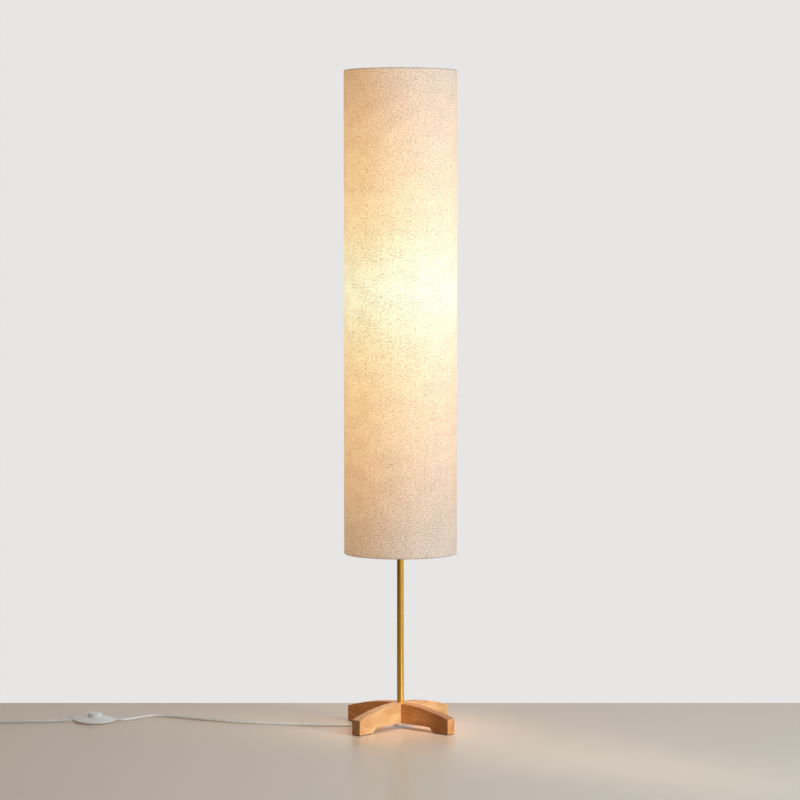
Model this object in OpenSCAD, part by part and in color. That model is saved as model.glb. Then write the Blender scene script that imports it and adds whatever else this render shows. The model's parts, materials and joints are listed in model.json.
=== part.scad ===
// Column floor lamp: a linen drum shade on a brass stem, standing in a cross of two timber bars,
// with a clear mains cord, a round foot switch and a two-pin plug.
// Millimetres, +Z up. The origin is on the floor under the middle of the cross.

/* [Base] */
// Length of each timber bar, end to end
bar_len = 272; // [250:2:320]
// Width of each timber bar
bar_w = 22; // [21:0.5:30]
// Height of the hub's top face
hub_h = 52; // [50:0.5:60]
// Height of the arms' top edge at their ends
arm_end_h = 31.5; // [24:0.5:40]
// Height of the raised underside between the feet
under_h = 11; // [9:0.5:13]
// Distance along an arm from the middle of the hub to its foot
foot_in = 97; // [80:1:110]
// Height of the plane where the two bars are lapped
lap_h = 34; // [33:0.5:38]
// Rounding of the bars' upper and end edges
bar_edge_r = 1.2; // [0.5:0.1:2.5]
// Thickness of the foot pads
pad_t = 1.5; // [1:0.25:3]
// How far the foot pads are set in from the timber's edges
pad_inset = 1; // [0.5:0.25:3]
// Depth of the socket that the stem stands in
socket_depth = 4; // [2:0.5:6]
// Radius of the recess under the hub
recess_r = 9.2; // [9:0.1:10]
// Timber left between the recess and the lap
recess_web = 5; // [4:0.5:6]

/* [Stem] */
// Outside diameter of the stem
stem_d = 14; // [12.2:0.1:16]
// Bore of the stem
stem_bore = 9; // [8:0.1:9.3]
// Length of the stem
stem_len = 720; // [500:5:900]
// Depth of the tapped bore at each end of the stem
tap_depth = 18; // [17:0.5:30]

/* [Hub hardware] */
// Thread diameter of the two nipples
nipple_d = 10; // [9.5:0.1:10.2]
// Bore of the two nipples
nipple_bore = 8; // [7:0.1:8.4]
// How far the hub's nipple goes into the stem
hub_nipple_in = 15; // [10:0.5:16.5]
// How far the nipple stands out under its nut
nipple_stub = 0.5; // [0.3:0.1:1.5]
// Outside diameter of the washer
washer_d = 17.4; // [16:0.2:17.8]
// Thickness of the washer
washer_t = 1.5; // [1:0.1:2]
// Outside diameter of the toothed lock washer
lock_d = 15; // [13:0.2:16]
// Thickness of the toothed lock washer
lock_t = 0.8; // [0.5:0.1:1.2]
// Width of the nut across its flats
nut_af = 14; // [13:0.2:15]
// Thickness of the nut
nut_t = 3; // [2:0.5:3.5]
// Thickness of the cord bushing's flange
bushing_t = 1.2; // [0.8:0.1:2]
// Diameter of the cord bushing's flange
bushing_d = 11.2; // [10.6:0.2:13]

/* [Lampholder] */
// How far the lampholder's nipple goes into the stem
holder_nipple_in = 16; // [10:0.5:16.5]
// How far it stands up out of the stem
holder_nipple_out = 10; // [9:0.5:12]
// Radius of the lampholder's cap and lower body
holder_r = 20; // [19.6:0.1:21.5]
// Height of the cap
holder_cap_h = 19; // [18:0.5:22]
// Wall of the cap and body
holder_wall = 1.8; // [1.4:0.1:2]
// Height of the shoulder that carries the shade, above the stem
shoulder_h = 48; // [44:0.5:52]
// Radius of the shoulder
shoulder_r = 22.5; // [22:0.1:24]
// Radius of the threaded skirt above the shoulder
skirt_r = 19.3; // [18.8:0.1:19.6]
// Height of the skirt above the shoulder
skirt_h = 18; // [14:0.5:22]
// Outside radius of the shade ring nut
ring_nut_r = 25; // [23:0.2:27]
// Height of the shade ring nut
ring_nut_h = 6; // [4:0.5:10]
// Height of the ceramic insert
insert_h = 9; // [7:0.5:10]
// Inside radius of the metal screw shell
shell_r = 13.4; // [13.3:0.05:13.8]
// Height of the metal screw shell
shell_h = 27; // [22:0.5:30]
// Height of the contact in its middle
contact_rise = 3; // [2:0.5:4]

/* [Bulb] */
// Radius of the globe
globe_r = 30; // [28:0.5:32]
// Length from the tip to the middle of the globe
bulb_mid = 78; // [74:1:84]
// Radius of the screw cap
bulb_cap_r = 13.1; // [12.9:0.05:13.2]
// Height of the screw cap
bulb_cap_h = 22; // [20:0.5:24]
// Wall of the globe
globe_t = 1.2; // [0.8:0.1:2]

/* [Shade] */
// Outside diameter of the shade
shade_d = 230; // [180:2:300]
// Height of the shade
shade_h = 980; // [600:5:1100]
// Thickness of the linen
linen_t = 0.8; // [0.6:0.1:1.2]
// Thickness of the stiff liner
liner_t = 0.8; // [0.5:0.1:1.2]
// Wire diameter of the rings
wire_d = 3; // [2.4:0.1:4]
// Wire diameter of the spider's arms
arm_d = 3.6; // [3:0.1:5]
// Outside radius of the spider's middle plate
fitter_r = 31; // [30:0.5:36]
// Thickness of the spider's middle plate
fitter_t = 1.5; // [1:0.1:2.5]
// Rise of the arms from the plate to the shade's middle ring
spider_rise = 31.25; // [20:0.25:45]

/* [Cord] */
// Outside diameter of the cord
cord_d = 5; // [4.6:0.1:5.2]
// Outside diameter of one core
core_d = 1.8; // [1.4:0.1:2]
// Turns in the coil
coil_turns = 6.25; // [4.25:1:6.25]
// Smallest radius in the coil
coil_in_r = 22; // [20:0.5:30]
// Gap between turns that lie beside or on each other
coil_gap = 0.5; // [0.5:0.1:1.5]
// Thickness of the two ties round the coil
tie_t = 0.8; // [0.6:0.1:1.2]
// Width of the ties
tie_w = 8; // [5:0.5:12]

/* [Foot switch] */
// Diameter of the switch's saucer
switch_d = 84; // [80:1:96]
// How far the two cord lugs stand out past the saucer
lug_out = 2; // [1.5:0.5:6]
// Thickness of the rubber pads under it
switch_pad_t = 0.8; // [0.6:0.1:1.1]
// Thickness of its floor
switch_floor_t = 1.6; // [1.4:0.1:2]
// Height of the joint between base and cover, and of the cord
switch_split_h = 4; // [3.9:0.1:4.4]
// Height of the cover where it meets the collar
switch_shoulder_h = 10; // [8.8:0.1:11]
// Wall of the cover
switch_wall = 1.5; // [1.2:0.1:1.8]
// Radius of the button
button_r = 14.7; // [13:0.1:16]
// Height of the button's top, not pressed
button_top_h = 18.2; // [17:0.1:22]
// Travel of the button
press_travel = 2.6; // [1.5:0.1:2.7]
// Radius of the rotor
rotor_r = 6.5; // [5.5:0.1:7]
// Coils in the return spring
spring_turns = 6; // [4:1:7]

/* [Plug] */
// Width of the plug's body
plug_w = 35.3; // [32:0.1:38]
// Thickness of the plug's body
plug_t = 13.7; // [13:0.1:16]
// Length of the plug's body
plug_len = 36; // [30:1:44]
// Length of its tapered strain relief
boot_len = 22; // [20:1:40]
// Pin diameter
pin_d = 4; // [3.8:0.05:4.8]
// Pin length
pin_len = 19; // [17:0.5:20]
// Distance between the pins
pin_gap = 18.6; // [17.5:0.1:19.5]
// How far the sleeves at their roots lie under the bare metal
sleeve_step = 0.2; // [0.2:0.05:0.3]

/* [Hidden] */
// clearances
thread_gap = 0.05;
slide_gap = 0.3;
seat_gap = 0.1;
pivot_gap = 0.05;
// hub stack, from the recess down to where the cord comes out
recess_top = lap_h - recess_web;
washer_z = recess_top - washer_t;
lock_z = washer_z - lock_t;
nut_z = lock_z - nut_t;
hub_nipple_z = nut_z - nipple_stub;
lock_tooth = 1.2;
cord_exit_z = hub_nipple_z - bushing_t;
bore_r = nipple_d / 2 + seat_gap;
// bar arc through the hub's top and both ends
arm_drop = hub_h - arm_end_h;
bar_arc_r = (pow(bar_len / 2, 2) + pow(arm_drop, 2)) / (2 * arm_drop);
bar_turn = 45;
// stem and lampholder
stem_z = hub_h - socket_depth;
stem_top = stem_z + stem_len;
neck_r = 9;
body_z = stem_top + holder_cap_h;
shoulder_z = stem_top + shoulder_h;
shoulder_t = 2;
insert_z = body_z + 3;
lead_hole_x = 7;
lead_hole_depth = 3;
lead_top = body_z - 5;
shell_z = insert_z + insert_h;
shell_t = 0.5;
set_screw_d = 4;
set_screw_h = 5;
// bulb, standing on the contact; the housing takes over some degrees below the globe's equator
bulb_tip_z = shell_z + contact_rise;
bulb_contact_t = 1.5;
bulb_cap_z = bulb_tip_z + 5;
globe_z = bulb_tip_z + bulb_mid;
globe_cut = 30;
// shade, hung at the middle of its height
shade_r = shade_d / 2;
fitter_z = shoulder_z + fitter_t / 2;
spider_z = fitter_z + spider_rise;
shade_z = spider_z - shade_h / 2;
shade_top = shade_z + shade_h;
liner_r = shade_r - linen_t;
wire_ring_r = liner_r - liner_t - seat_gap - wire_d / 2;
roll_r = wire_d / 2 + seat_gap + linen_t;
spider_arms = 3;
// cord
lay = cord_d / 2;
ring_step = 2.5 * cord_d;
coil_pitch = cord_d + coil_gap;
cord_sides = 8;
form_sides = 6;
bend_heading = 172;
// foot switch, its axis turned from +X
switch_at = [-627, 111];
switch_turn = -3.7;
switch_r = switch_d / 2;
switch_len = switch_d + 2 * lug_out;
plate_z = switch_pad_t;
plate_top = plate_z + switch_floor_t;
lug_tip_r = 3.3;
lug_root_r = 5;
lug_root = 24;
jacket_end = 28.5;
shoulder_ring_r = button_r + slide_gap + 2;
collar_r = button_r + slide_gap;
collar_top = switch_shoulder_h + 0.6;
collar_z = switch_shoulder_h - 2;
button_wall = 1.5;
button_roof = 1.8;
flange_w = 1.7;
flange_t = 0.9;
flange_z = collar_z - seat_gap - flange_t;
plunger_r = 4.3;
plunger_wall = 0.7;
rotor_z = plate_top + slide_gap;
rotor_top = rotor_z + 4.3;
pivot_r = 1.5;
hub_pin_r = 2.3;
hub_pin_top = rotor_top + 2.4;
bridge_z = rotor_z + 1.7;
bridge_t = 0.8;
plunger_z = rotor_top + press_travel + 1;
plunger_roof = 1;
spring_wire = 0.6;
spring_r = 3;
contact_t = 0.5;
contact_w = 5;
contact_x = rotor_r + slide_gap;
contact_reach = 23;
terminal_x = 20.5;
terminal_r = 1.25;
terminal_head_r = 2.3;
cover_screw_at = switch_r - 9;
cover_screw_turn = 90;
screw_r = 1.2;
head_r = 2.6;
head_t = 0.9;
pad_ring_r = switch_r - 9;
pad_turn = 30;
// coil, put away past the end of the laid cord
coil_entry = [-880, 104];
coil_lift = tie_t + 0.2;
coil_z = coil_lift + lay;
coil_out_r = coil_in_r + coil_pitch * coil_turns / 2;
coil_at = [coil_entry[0], coil_entry[1] + coil_out_r];
coil_start = -90;
coil_steps = 24;
climb = 0.5;
// plug, lying flat past the coil
plug_reach = 47;
plug_tail = [coil_at[0] - coil_out_r, coil_at[1] + plug_reach, plug_t / 2];
plug_heading = 90;
plug_dir = [cos(plug_heading), sin(plug_heading), 0];
boot_tip_r = 3.6;
sleeve_len = 10;
pin_core_r = 1.2;
pin_root = 7.5;

// laid cord from the hub to the switch: x, y and the height of its middle above its rest
route_to_switch = [
    [-38, 4, 0], [-60, 7, 0], [-94, 12, 0], [-140, 18, 0], [-184, 26, 0], [-225, 37, 0],
    [-266, 50, 0], [-307, 63, 0], [-348, 79, 0], [-388, 100, 0], [-411, 113, 0], [-432, 126, 0],
    [-453, 139, 0], [-473, 151, 0], [-492, 158, 0], [-510, 158, 0], [-524, 151, 0], [-536, 140, 0],
    [-547, 127, 0], [-558, 116, 0.2], [-570, 109.5, 1]
];
// laid cord from the switch to the coil
route_to_coil = [
    [-684, 113, 0.8], [-700, 109.5, 0], [-720, 105.5, 0], [-742, 103.5, 0], [-765, 103, 0],
    [-790, 103.2, 0], [-815, 103.6, 0], [-840, 103.9, 0.2], [-860, 104, 0.8]
];

$fn = 96;

// ---- shared functions ----

function unit(v) = v / norm(v);
function spin(v, a) = [v[0] * cos(a) - v[1] * sin(a), v[0] * sin(a) + v[1] * cos(a)];

// a point on the Catmull-Rom curve between b and c
function between(a, b, c, d, t) =
    0.5 * (2 * b + (c - a) * t + (2 * a - 5 * b + 4 * c - d) * t * t
        + (3 * b - a - 3 * c + d) * t * t * t);

// the smooth line through a route, with a point about every step
function smooth(route, step) =
    let (last = len(route) - 1)
    [
        for (i = [0 : last - 1])
            let (
                b = route[i],
                c = route[i + 1],
                a = i == 0 ? 2 * b - c : route[i - 1],
                d = i == last - 1 ? 2 * c - b : route[i + 2],
                count = max(1, round(norm(c - b) / step))
            )
            for (k = [0 : count - 1]) between(a, b, c, d, k / count),
        route[last]
    ];

// a laid route: its third number becomes a height, never under the cord's rest
function laid(points) = [for (p = points) [p[0], p[1], max(lay, p[2])]];
function raised(points) = [for (p = points) [p[0], p[1], p[2] + lay]];

function sum(list) = list * [for (x = list) 1];
function length_of(line) = sum([for (i = [1 : len(line) - 1]) norm(line[i] - line[i - 1])]);

// directions along a line, with given end directions
function directions(line, first, final) =
    let (last = len(line) - 1)
    [for (i = [0 : last]) i == 0 ? unit(first) : i == last ? unit(final) : unit(line[i + 1] - line[i - 1])];

// a side vector carried along the directions without twist
function carried(v, d) = unit(v - (v * d) * d);
function sides_of(dirs, start) = [
    for (
        i = 0, v = carried(start, dirs[0]);
        i < len(dirs);
        i = i + 1, v = i < len(dirs) ? carried(v, dirs[i]) : v
    ) v
];

// one closed tube of triangles swept along a line
module swept_tube(line, d, sides, first, final, start = [0, 1, 0]) {
    dirs = directions(line, first, final);
    flank = sides_of(dirs, start);
    rings = len(line);
    turn = 360 / sides;
    points = [
        for (i = [0 : rings - 1])
            for (k = [0 : sides - 1])
                line[i] + d / 2 * (cos(k * turn) * flank[i] + sin(k * turn) * cross(dirs[i], flank[i]))
    ];
    wall = [
        for (i = [0 : rings - 2])
            for (k = [0 : sides - 1])
                let (
                    a = i * sides + k,
                    b = i * sides + (k + 1) % sides
                )
                each [[a, a + sides, b], [b, a + sides, b + sides]]
    ];
    start_cap = [for (k = [1 : sides - 2]) [0, k, k + 1]];
    far = (rings - 1) * sides;
    far_cap = [for (k = [1 : sides - 2]) [far, far + k + 1, far + k]];
    polyhedron(points, concat(wall, start_cap, far_cap), convexity = 10);
}

// ---- routes ----

// the quarter bend under the hub, from straight down to along the floor
bend_r = cord_exit_z - lay;
function hub_bend() = [
    for (a = [0 : 22.5 : 90])
        let (out = bend_r * (1 - cos(a)))
        [out * cos(bend_heading), out * sin(bend_heading), cord_exit_z - bend_r * sin(a)]
];
// a point on the switch's axis, along it from its middle
function on_switch(along, z) =
    let (p = spin([along, 0], switch_turn))
    [switch_at[0] + p[0], switch_at[1] + p[1], z];
switch_axis = [cos(switch_turn), sin(switch_turn), 0];

line_to_switch = laid(smooth(concat(
    hub_bend(),
    raised(route_to_switch),
    [for (x = [switch_len / 2 + 5, switch_len / 2, jacket_end]) on_switch(x, switch_split_h)]
), ring_step));

// the coil: a spiral in on the floor, half a turn that climbs, and a spiral out on top
function coil_radius(turn) = coil_in_r + coil_pitch * abs(coil_turns / 2 - turn);
function coil_climb(turn) =
    let (t = min(1, max(0, (turn - coil_turns / 2) / climb + 0.5)))
    coil_pitch * (1 - cos(180 * t)) / 2;
function coil_point(turn) =
    let (a = coil_start - 360 * turn)
    [
        coil_at[0] + coil_radius(turn) * cos(a),
        coil_at[1] + coil_radius(turn) * sin(a),
        coil_z + coil_climb(turn)
    ];
coil_nudge = 0.001;
coil_in_dir = unit(coil_point(coil_nudge) - coil_point(0));
coil_out_dir = unit(coil_point(coil_turns) - coil_point(coil_turns - coil_nudge));
coil_lead_in = coil_point(0) - cord_d * coil_in_dir;
coil_lead_out = coil_point(coil_turns) + cord_d * coil_out_dir;
coil_rings = coil_steps * coil_turns;
coil_line = concat(
    [coil_lead_in],
    [for (i = [0 : coil_rings]) coil_point(i / coil_steps)],
    [coil_lead_out]
);

line_to_coil = laid(smooth(concat(
    [for (x = [jacket_end, switch_len / 2, switch_len / 2 + 5]) on_switch(-x, switch_split_h)],
    raised(route_to_coil),
    [coil_lead_in]
), ring_step));

// down from the top of the coil to the plug's strain relief
line_to_plug = smooth([
    coil_lead_out,
    coil_lead_out + cord_d * coil_out_dir,
    plug_tail - 3 * cord_d * plug_dir + [0, 0, 0.8],
    plug_tail - cord_d * plug_dir,
    plug_tail
], ring_step);

// least distance between two stretches of the coil that are more than half a turn apart
gap_steps = 2 * coil_steps;
gap_points = [for (i = [0 : gap_steps * coil_turns]) coil_point(i / gap_steps)];
echo(coil_least_gap = min([
    for (i = [0 : len(gap_points) - 1])
        for (j = [i + gap_steps / 2 : 1 : len(gap_points) - 1])
            norm(gap_points[i] - gap_points[j])
]) - cord_d);

// the return spring
spring_z = rotor_top + seat_gap + spring_wire / 2;
spring_end_z = button_top_h - button_roof - plunger_roof - seat_gap - spring_wire / 2;
spring_steps = 8;
spring_pitch = (spring_end_z - spring_z) / spring_turns;
spring_line = [
    for (i = [0 : spring_steps * spring_turns])
        let (a = 360 * i / spring_steps)
        [spring_r * cos(a), spring_r * sin(a), spring_z + spring_pitch * i / spring_steps]
];
echo(spring_least_gap = spring_pitch - spring_wire);
echo(
    cord_to_switch = length_of(line_to_switch),
    cord_to_coil = length_of(line_to_coil),
    cord_in_coil = length_of(coil_line),
    cord_to_plug = length_of(line_to_plug)
);

// ---- shared shapes ----

module pipe(outer, inner, z, h) {
    translate([0, 0, z]) difference() {
        cylinder(r = outer, h = h);
        translate([0, 0, -1]) cylinder(r = inner, h = h + 2);
    }
}

// an upright cylinder between two heights
module cylinder_from(z, top, r) {
    translate([0, 0, z]) cylinder(r = r, h = top - z, $fn = 64);
}

module wire_ring(radius, d, z) {
    translate([0, 0, z]) rotate_extrude($fn = 180) translate([radius, 0]) circle(d = d, $fn = 32);
}

// a rectangle with round corners, about the origin
module round_rect(length, width, r) {
    square([length - 2 * r, width], center = true);
    square([length, width - 2 * r], center = true);
    for (x = [-1, 1], y = [-1, 1])
        translate([x * (length / 2 - r), y * (width / 2 - r)]) circle(r = r, $fn = 32);
}

// ---- base ----

module bar_outline() {
    foot_rise = under_h - pad_t;
    half = [
        [foot_in - foot_rise, under_h], [foot_in, pad_t], [bar_len / 2, pad_t], [bar_len / 2, hub_h + 1]
    ];
    mirrored = [for (i = [3 : -1 : 0]) [-half[i][0], half[i][1]]];
    polygon(concat(half, mirrored));
}

// one arched bar along X, with its crown and ends eased
module bar() {
    intersection() {
        rotate([90, 0, 0]) linear_extrude(bar_w + 2, center = true) bar_outline();
        translate([0, 0, hub_h - bar_arc_r]) rotate([90, 0, 0]) rotate_extrude($fn = 720)
            intersection() {
                round_rect(2 * bar_arc_r, bar_w, bar_edge_r);
                translate([0, -bar_w]) square([bar_arc_r + 1, 2 * bar_w]);
            }
        linear_extrude(hub_h + 1) round_rect(bar_len, bar_w, bar_edge_r);
    }
}

module lap_cut(z, h) {
    span = bar_w + 2 * seat_gap;
    translate([-span / 2, -bar_w, z]) cube([span, 2 * bar_w, h]);
}

module base_bar_lower() {
    color("peru") rotate(-bar_turn) difference() {
        bar();
        lap_cut(lap_h, hub_h);
        translate([0, 0, -1]) cylinder(r = bore_r, h = hub_h);
        translate([0, 0, -1]) cylinder(r = recess_r, h = recess_top + 1);
    }
}

module base_bar_upper() {
    color("burlywood") rotate(bar_turn) difference() {
        bar();
        lap_cut(-1, lap_h + 1);
        translate([0, 0, lap_h - 1]) cylinder(r = bore_r, h = hub_h);
        translate([0, 0, stem_z]) cylinder(r = stem_d / 2 + seat_gap, h = hub_h);
    }
}

module foot_pads() {
    pad_len = bar_len / 2 - foot_in - 2 * pad_inset;
    color("dimgray") for (a = [45 : 90 : 315])
        rotate(a) translate([foot_in + pad_inset + pad_len / 2, 0, 0])
            linear_extrude(pad_t) round_rect(pad_len, bar_w - 2 * pad_inset, 2);
}

// ---- hub hardware ----

module hub_nipple() {
    color("goldenrod") pipe(
        nipple_d / 2, nipple_bore / 2, hub_nipple_z, stem_z + hub_nipple_in - hub_nipple_z);
}

module hub_washer() {
    color("silver") pipe(washer_d / 2, bore_r, washer_z, washer_t);
}

module hub_lock_washer() {
    color("silver") difference() {
        pipe(lock_d / 2, bore_r, lock_z, lock_t);
        for (a = [0 : 36 : 324])
            rotate(a) translate([lock_d / 2 - lock_tooth, -lock_tooth / 2, lock_z - 1])
                cube([2 * lock_tooth, lock_tooth, lock_t + 2]);
    }
}

module hub_nut() {
    color("silver") translate([0, 0, nut_z]) difference() {
        cylinder(d = nut_af / cos(30), h = nut_t, $fn = 6);
        translate([0, 0, -1]) cylinder(r = nipple_d / 2 + thread_gap, h = nut_t + 2);
    }
}

module cord_bushing() {
    neck = 8;
    color("whitesmoke") translate([0, 0, cord_exit_z]) difference() {
        union() {
            cylinder(d = bushing_d, h = bushing_t);
            cylinder(r = nipple_bore / 2 - thread_gap, h = bushing_t + neck);
        }
        translate([0, 0, -1]) cylinder(r = lay + seat_gap, h = bushing_t + neck + 2);
    }
}

// ---- stem ----

module stem_tube() {
    tapped_r = nipple_d / 2 + thread_gap;
    color("darkgoldenrod") difference() {
        pipe(stem_d / 2, stem_bore / 2, stem_z, stem_len);
        translate([0, 0, stem_z - 1]) cylinder(r = tapped_r, h = tap_depth + 1);
        translate([0, 0, stem_top - tap_depth]) cylinder(r = tapped_r, h = tap_depth + 1);
    }
}

module stem_lead() {
    color("lightgray") translate([0, 0, cord_exit_z]) cylinder(d = cord_d, h = lead_top - cord_exit_z);
}

// ---- lampholder ----

module holder_nipple() {
    color("goldenrod") pipe(
        nipple_d / 2, nipple_bore / 2, stem_top - holder_nipple_in, holder_nipple_in + holder_nipple_out);
}

// half the cap's dome in section, w inside its outer face and h high
module cap_dome(w, h) {
    bulge = holder_r - neck_r - w;
    intersection() {
        square([holder_r, h]);
        union() {
            translate([0, holder_cap_h - bulge]) square([neck_r, 2 * bulge]);
            translate([neck_r, holder_cap_h]) circle(r = bulge);
        }
    }
}

module holder_cap() {
    color("ivory") translate([0, 0, stem_top]) difference() {
        union() {
            rotate_extrude() cap_dome(0, holder_cap_h);
            cylinder(r = neck_r, h = holder_cap_h - (holder_r - neck_r) + holder_wall / 2);
        }
        rotate_extrude() cap_dome(holder_wall, 2 * holder_cap_h);
        translate([0, 0, -1]) cylinder(r = nipple_d / 2 + thread_gap, h = holder_cap_h);
        translate([0, 0, set_screw_h]) rotate([0, 90, 0])
            cylinder(d = set_screw_d + 2 * thread_gap, h = neck_r + 1, $fn = 32);
    }
}

module holder_set_screw() {
    slot = 0.8;
    screw_len = neck_r - nipple_d / 2 - seat_gap;
    color("silver")
        translate([nipple_d / 2 + seat_gap, 0, stem_top + set_screw_h]) rotate([0, 90, 0]) difference() {
            cylinder(d = set_screw_d, h = screw_len);
            translate([-set_screw_d, -slot / 2, screw_len - 1]) cube([2 * set_screw_d, slot, 2]);
        }
}

module holder_body() {
    color("ivory") difference() {
        union() {
            translate([0, 0, body_z]) cylinder(r = holder_r, h = shoulder_z - body_z);
            translate([0, 0, shoulder_z - shoulder_t]) cylinder(r = shoulder_r, h = shoulder_t);
            translate([0, 0, shoulder_z]) cylinder(r = skirt_r, h = skirt_h);
        }
        translate([0, 0, body_z - 1]) cylinder(r = holder_r - holder_wall, h = shell_z - body_z + 1);
        translate([0, 0, body_z]) cylinder(r = skirt_r - holder_wall, h = shoulder_z);
    }
}

module holder_insert() {
    color("white") translate([0, 0, insert_z]) difference() {
        cylinder(r = holder_r - holder_wall - thread_gap, h = insert_h);
        for (side = [-1, 1])
            translate([side * lead_hole_x, 0, -1])
                cylinder(r = core_d / 2 + seat_gap, h = 1 + lead_hole_depth, $fn = 32);
    }
}

module holder_shell() {
    color("gold") pipe(shell_r + shell_t, shell_r, shell_z, shell_h);
}

module holder_contact() {
    tongue = [14, 6, 0.5];
    color("gold") translate([0, 0, shell_z]) {
        translate([-tongue[0] / 2, -tongue[1] / 2, 0]) cube(tongue);
        cylinder(d = tongue[1], h = contact_rise - seat_gap);
    }
}

module holder_leads() {
    lead_in = lead_hole_depth - 0.5;
    for (side = [-1, 1])
        color("silver") swept_tube([
            [side * 1.2, 0, lead_top],
            [side * 1.2, 0, lead_top + 2],
            [side * 4.5, 0, (lead_top + insert_z) / 2],
            [side * lead_hole_x, 0, insert_z],
            [side * lead_hole_x, 0, insert_z + lead_in]
        ], core_d, form_sides, [0, 0, 1], [0, 0, 1]);
}

module shade_ring_nut() {
    flute_r = 0.9;
    color("ivory") translate([0, 0, shoulder_z + fitter_t]) difference() {
        pipe(ring_nut_r, skirt_r + thread_gap, 0, ring_nut_h);
        for (a = [0 : 15 : 345])
            rotate(a) translate([ring_nut_r, 0, -1]) cylinder(r = flute_r, h = ring_nut_h + 2, $fn = 16);
    }
}

// ---- bulb ----

module bulb_contact() {
    color("silver") translate([0, 0, bulb_tip_z]) cylinder(r = 4.5, h = bulb_contact_t);
}

module bulb_insulator() {
    foot_z = bulb_tip_z + bulb_contact_t;
    color("black") translate([0, 0, foot_z]) cylinder(r1 = 6, r2 = 10.5, h = bulb_cap_z - foot_z);
}

module bulb_cap() {
    color("silver") translate([0, 0, bulb_cap_z]) cylinder(r = bulb_cap_r, h = bulb_cap_h);
}

module bulb_housing() {
    base_z = bulb_cap_z + bulb_cap_h;
    rim_r = globe_r * cos(globe_cut);
    rim_z = globe_z - globe_r * sin(globe_cut);
    rise = rim_z - base_z;
    foot_r = bulb_cap_r + 1;
    foot_slope = 0.1;
    steps = 10;
    // a cubic that leaves the cap nearly straight and meets the globe along its own slope
    flank = [
        for (i = [0 : steps])
            let (
                t = i / steps,
                fall = (2 * t - 3) * t * t + 1,
                leave = t * (1 - t) * (1 - t) * rise * foot_slope,
                arrive = t * t * (t - 1) * rise * tan(globe_cut)
            )
            [foot_r * fall + rim_r * (1 - fall) + leave + arrive, base_z + rise * t]
    ];
    color("white") rotate_extrude() polygon(concat([[0, base_z]], flank, [[0, rim_z]]));
}

module bulb_globe() {
    cut_z = -globe_r * sin(globe_cut);
    color("lightyellow") translate([0, 0, globe_z]) rotate_extrude() intersection() {
        difference() {
            circle(r = globe_r);
            circle(r = globe_r - globe_t);
        }
        translate([0, cut_z]) square([globe_r + 1, globe_r - cut_z + 1]);
    }
}

// ---- shade ----

// the linen at one end in section: over the edge, in to the wire ring and round its inner side
module end_fold() {
    translate([wire_ring_r, 0]) square([shade_r - wire_ring_r, linen_t]);
    translate([wire_ring_r, roll_r]) difference() {
        circle(r = roll_r, $fn = 48);
        circle(r = roll_r - linen_t, $fn = 48);
        translate([0, -roll_r - 1]) square([roll_r + 1, 2 * roll_r + 2]);
    }
}

module shade_fabric() {
    color("wheat") translate([0, 0, shade_z]) rotate_extrude($fn = 180) {
        translate([liner_r, 0]) square([linen_t, shade_h]);
        end_fold();
        translate([0, shade_h]) mirror([0, 1]) end_fold();
    }
}

module shade_liner() {
    color("white") pipe(liner_r - thread_gap, liner_r - liner_t, shade_z + linen_t + seat_gap,
        shade_h - 2 * (linen_t + seat_gap), $fn = 180);
}

module shade_top_ring() {
    color("white") wire_ring(wire_ring_r, wire_d, shade_top - roll_r);
}

module shade_bottom_ring() {
    color("white") wire_ring(wire_ring_r, wire_d, shade_z + roll_r);
}

module shade_spider() {
    root_r = fitter_r - arm_d / 2;
    reach = wire_ring_r - root_r;
    arm_len = norm([reach, spider_rise]);
    tilt = atan2(reach, spider_rise);
    color("white") {
        pipe(fitter_r, skirt_r + slide_gap, shoulder_z, fitter_t);
        wire_ring(wire_ring_r, wire_d, spider_z);
        for (i = [0 : spider_arms - 1])
            rotate(90 + i * 360 / spider_arms) translate([root_r, 0, fitter_z]) rotate([0, tilt, 0])
                cylinder(d = arm_d, h = arm_len, $fn = 32);
    }
}

// ---- cord ----

module cord_to_switch() {
    color("gainsboro") swept_tube(line_to_switch, cord_d, cord_sides, [0, 0, -1], -switch_axis);
}

module cord_to_coil() {
    color("gainsboro") swept_tube(line_to_coil, cord_d, cord_sides, -switch_axis, coil_in_dir, [0, 0, 1]);
}

module cord_coil() {
    color("gainsboro") swept_tube(coil_line, cord_d, form_sides, coil_in_dir, coil_out_dir, [0, 0, 1]);
}

module cord_to_plug() {
    color("gainsboro") swept_tube(line_to_plug, cord_d, cord_sides, coil_out_dir, plug_dir, [0, 0, 1]);
}

module cord_ties() {
    side_slack = 0.6;
    bundle_w = coil_out_r - coil_in_r + cord_d + 2 * side_slack;
    bundle_h = coil_pitch + cord_d + 2 * (coil_lift - tie_t);
    color("black") for (a = [45, 225])
        translate([coil_at[0], coil_at[1], coil_z + coil_pitch / 2]) rotate(a)
            translate([(coil_in_r + coil_out_r) / 2, tie_w / 2, 0]) rotate([90, 0, 0]) linear_extrude(tie_w)
                difference() {
                    round_rect(bundle_w + 2 * tie_t, bundle_h + 2 * tie_t, 2);
                    round_rect(bundle_w, bundle_h, 1.2);
                }
}

// ---- foot switch, about its own axis ----

module at_switch() {
    translate([switch_at[0], switch_at[1], 0]) rotate(switch_turn) children();
}

module lug_cones() {
    for (side = [0, 180])
        rotate(side) translate([lug_root, 0, switch_split_h]) rotate([0, 90, 0])
            cylinder(r1 = lug_root_r, r2 = lug_tip_r, h = switch_len / 2 - lug_root, $fn = 64);
}

// the part of both lugs between two heights
module lugs(z, h) {
    intersection() {
        lug_cones();
        translate([-switch_len, -switch_len, z]) cube([2 * switch_len, 2 * switch_len, h]);
    }
}

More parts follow.
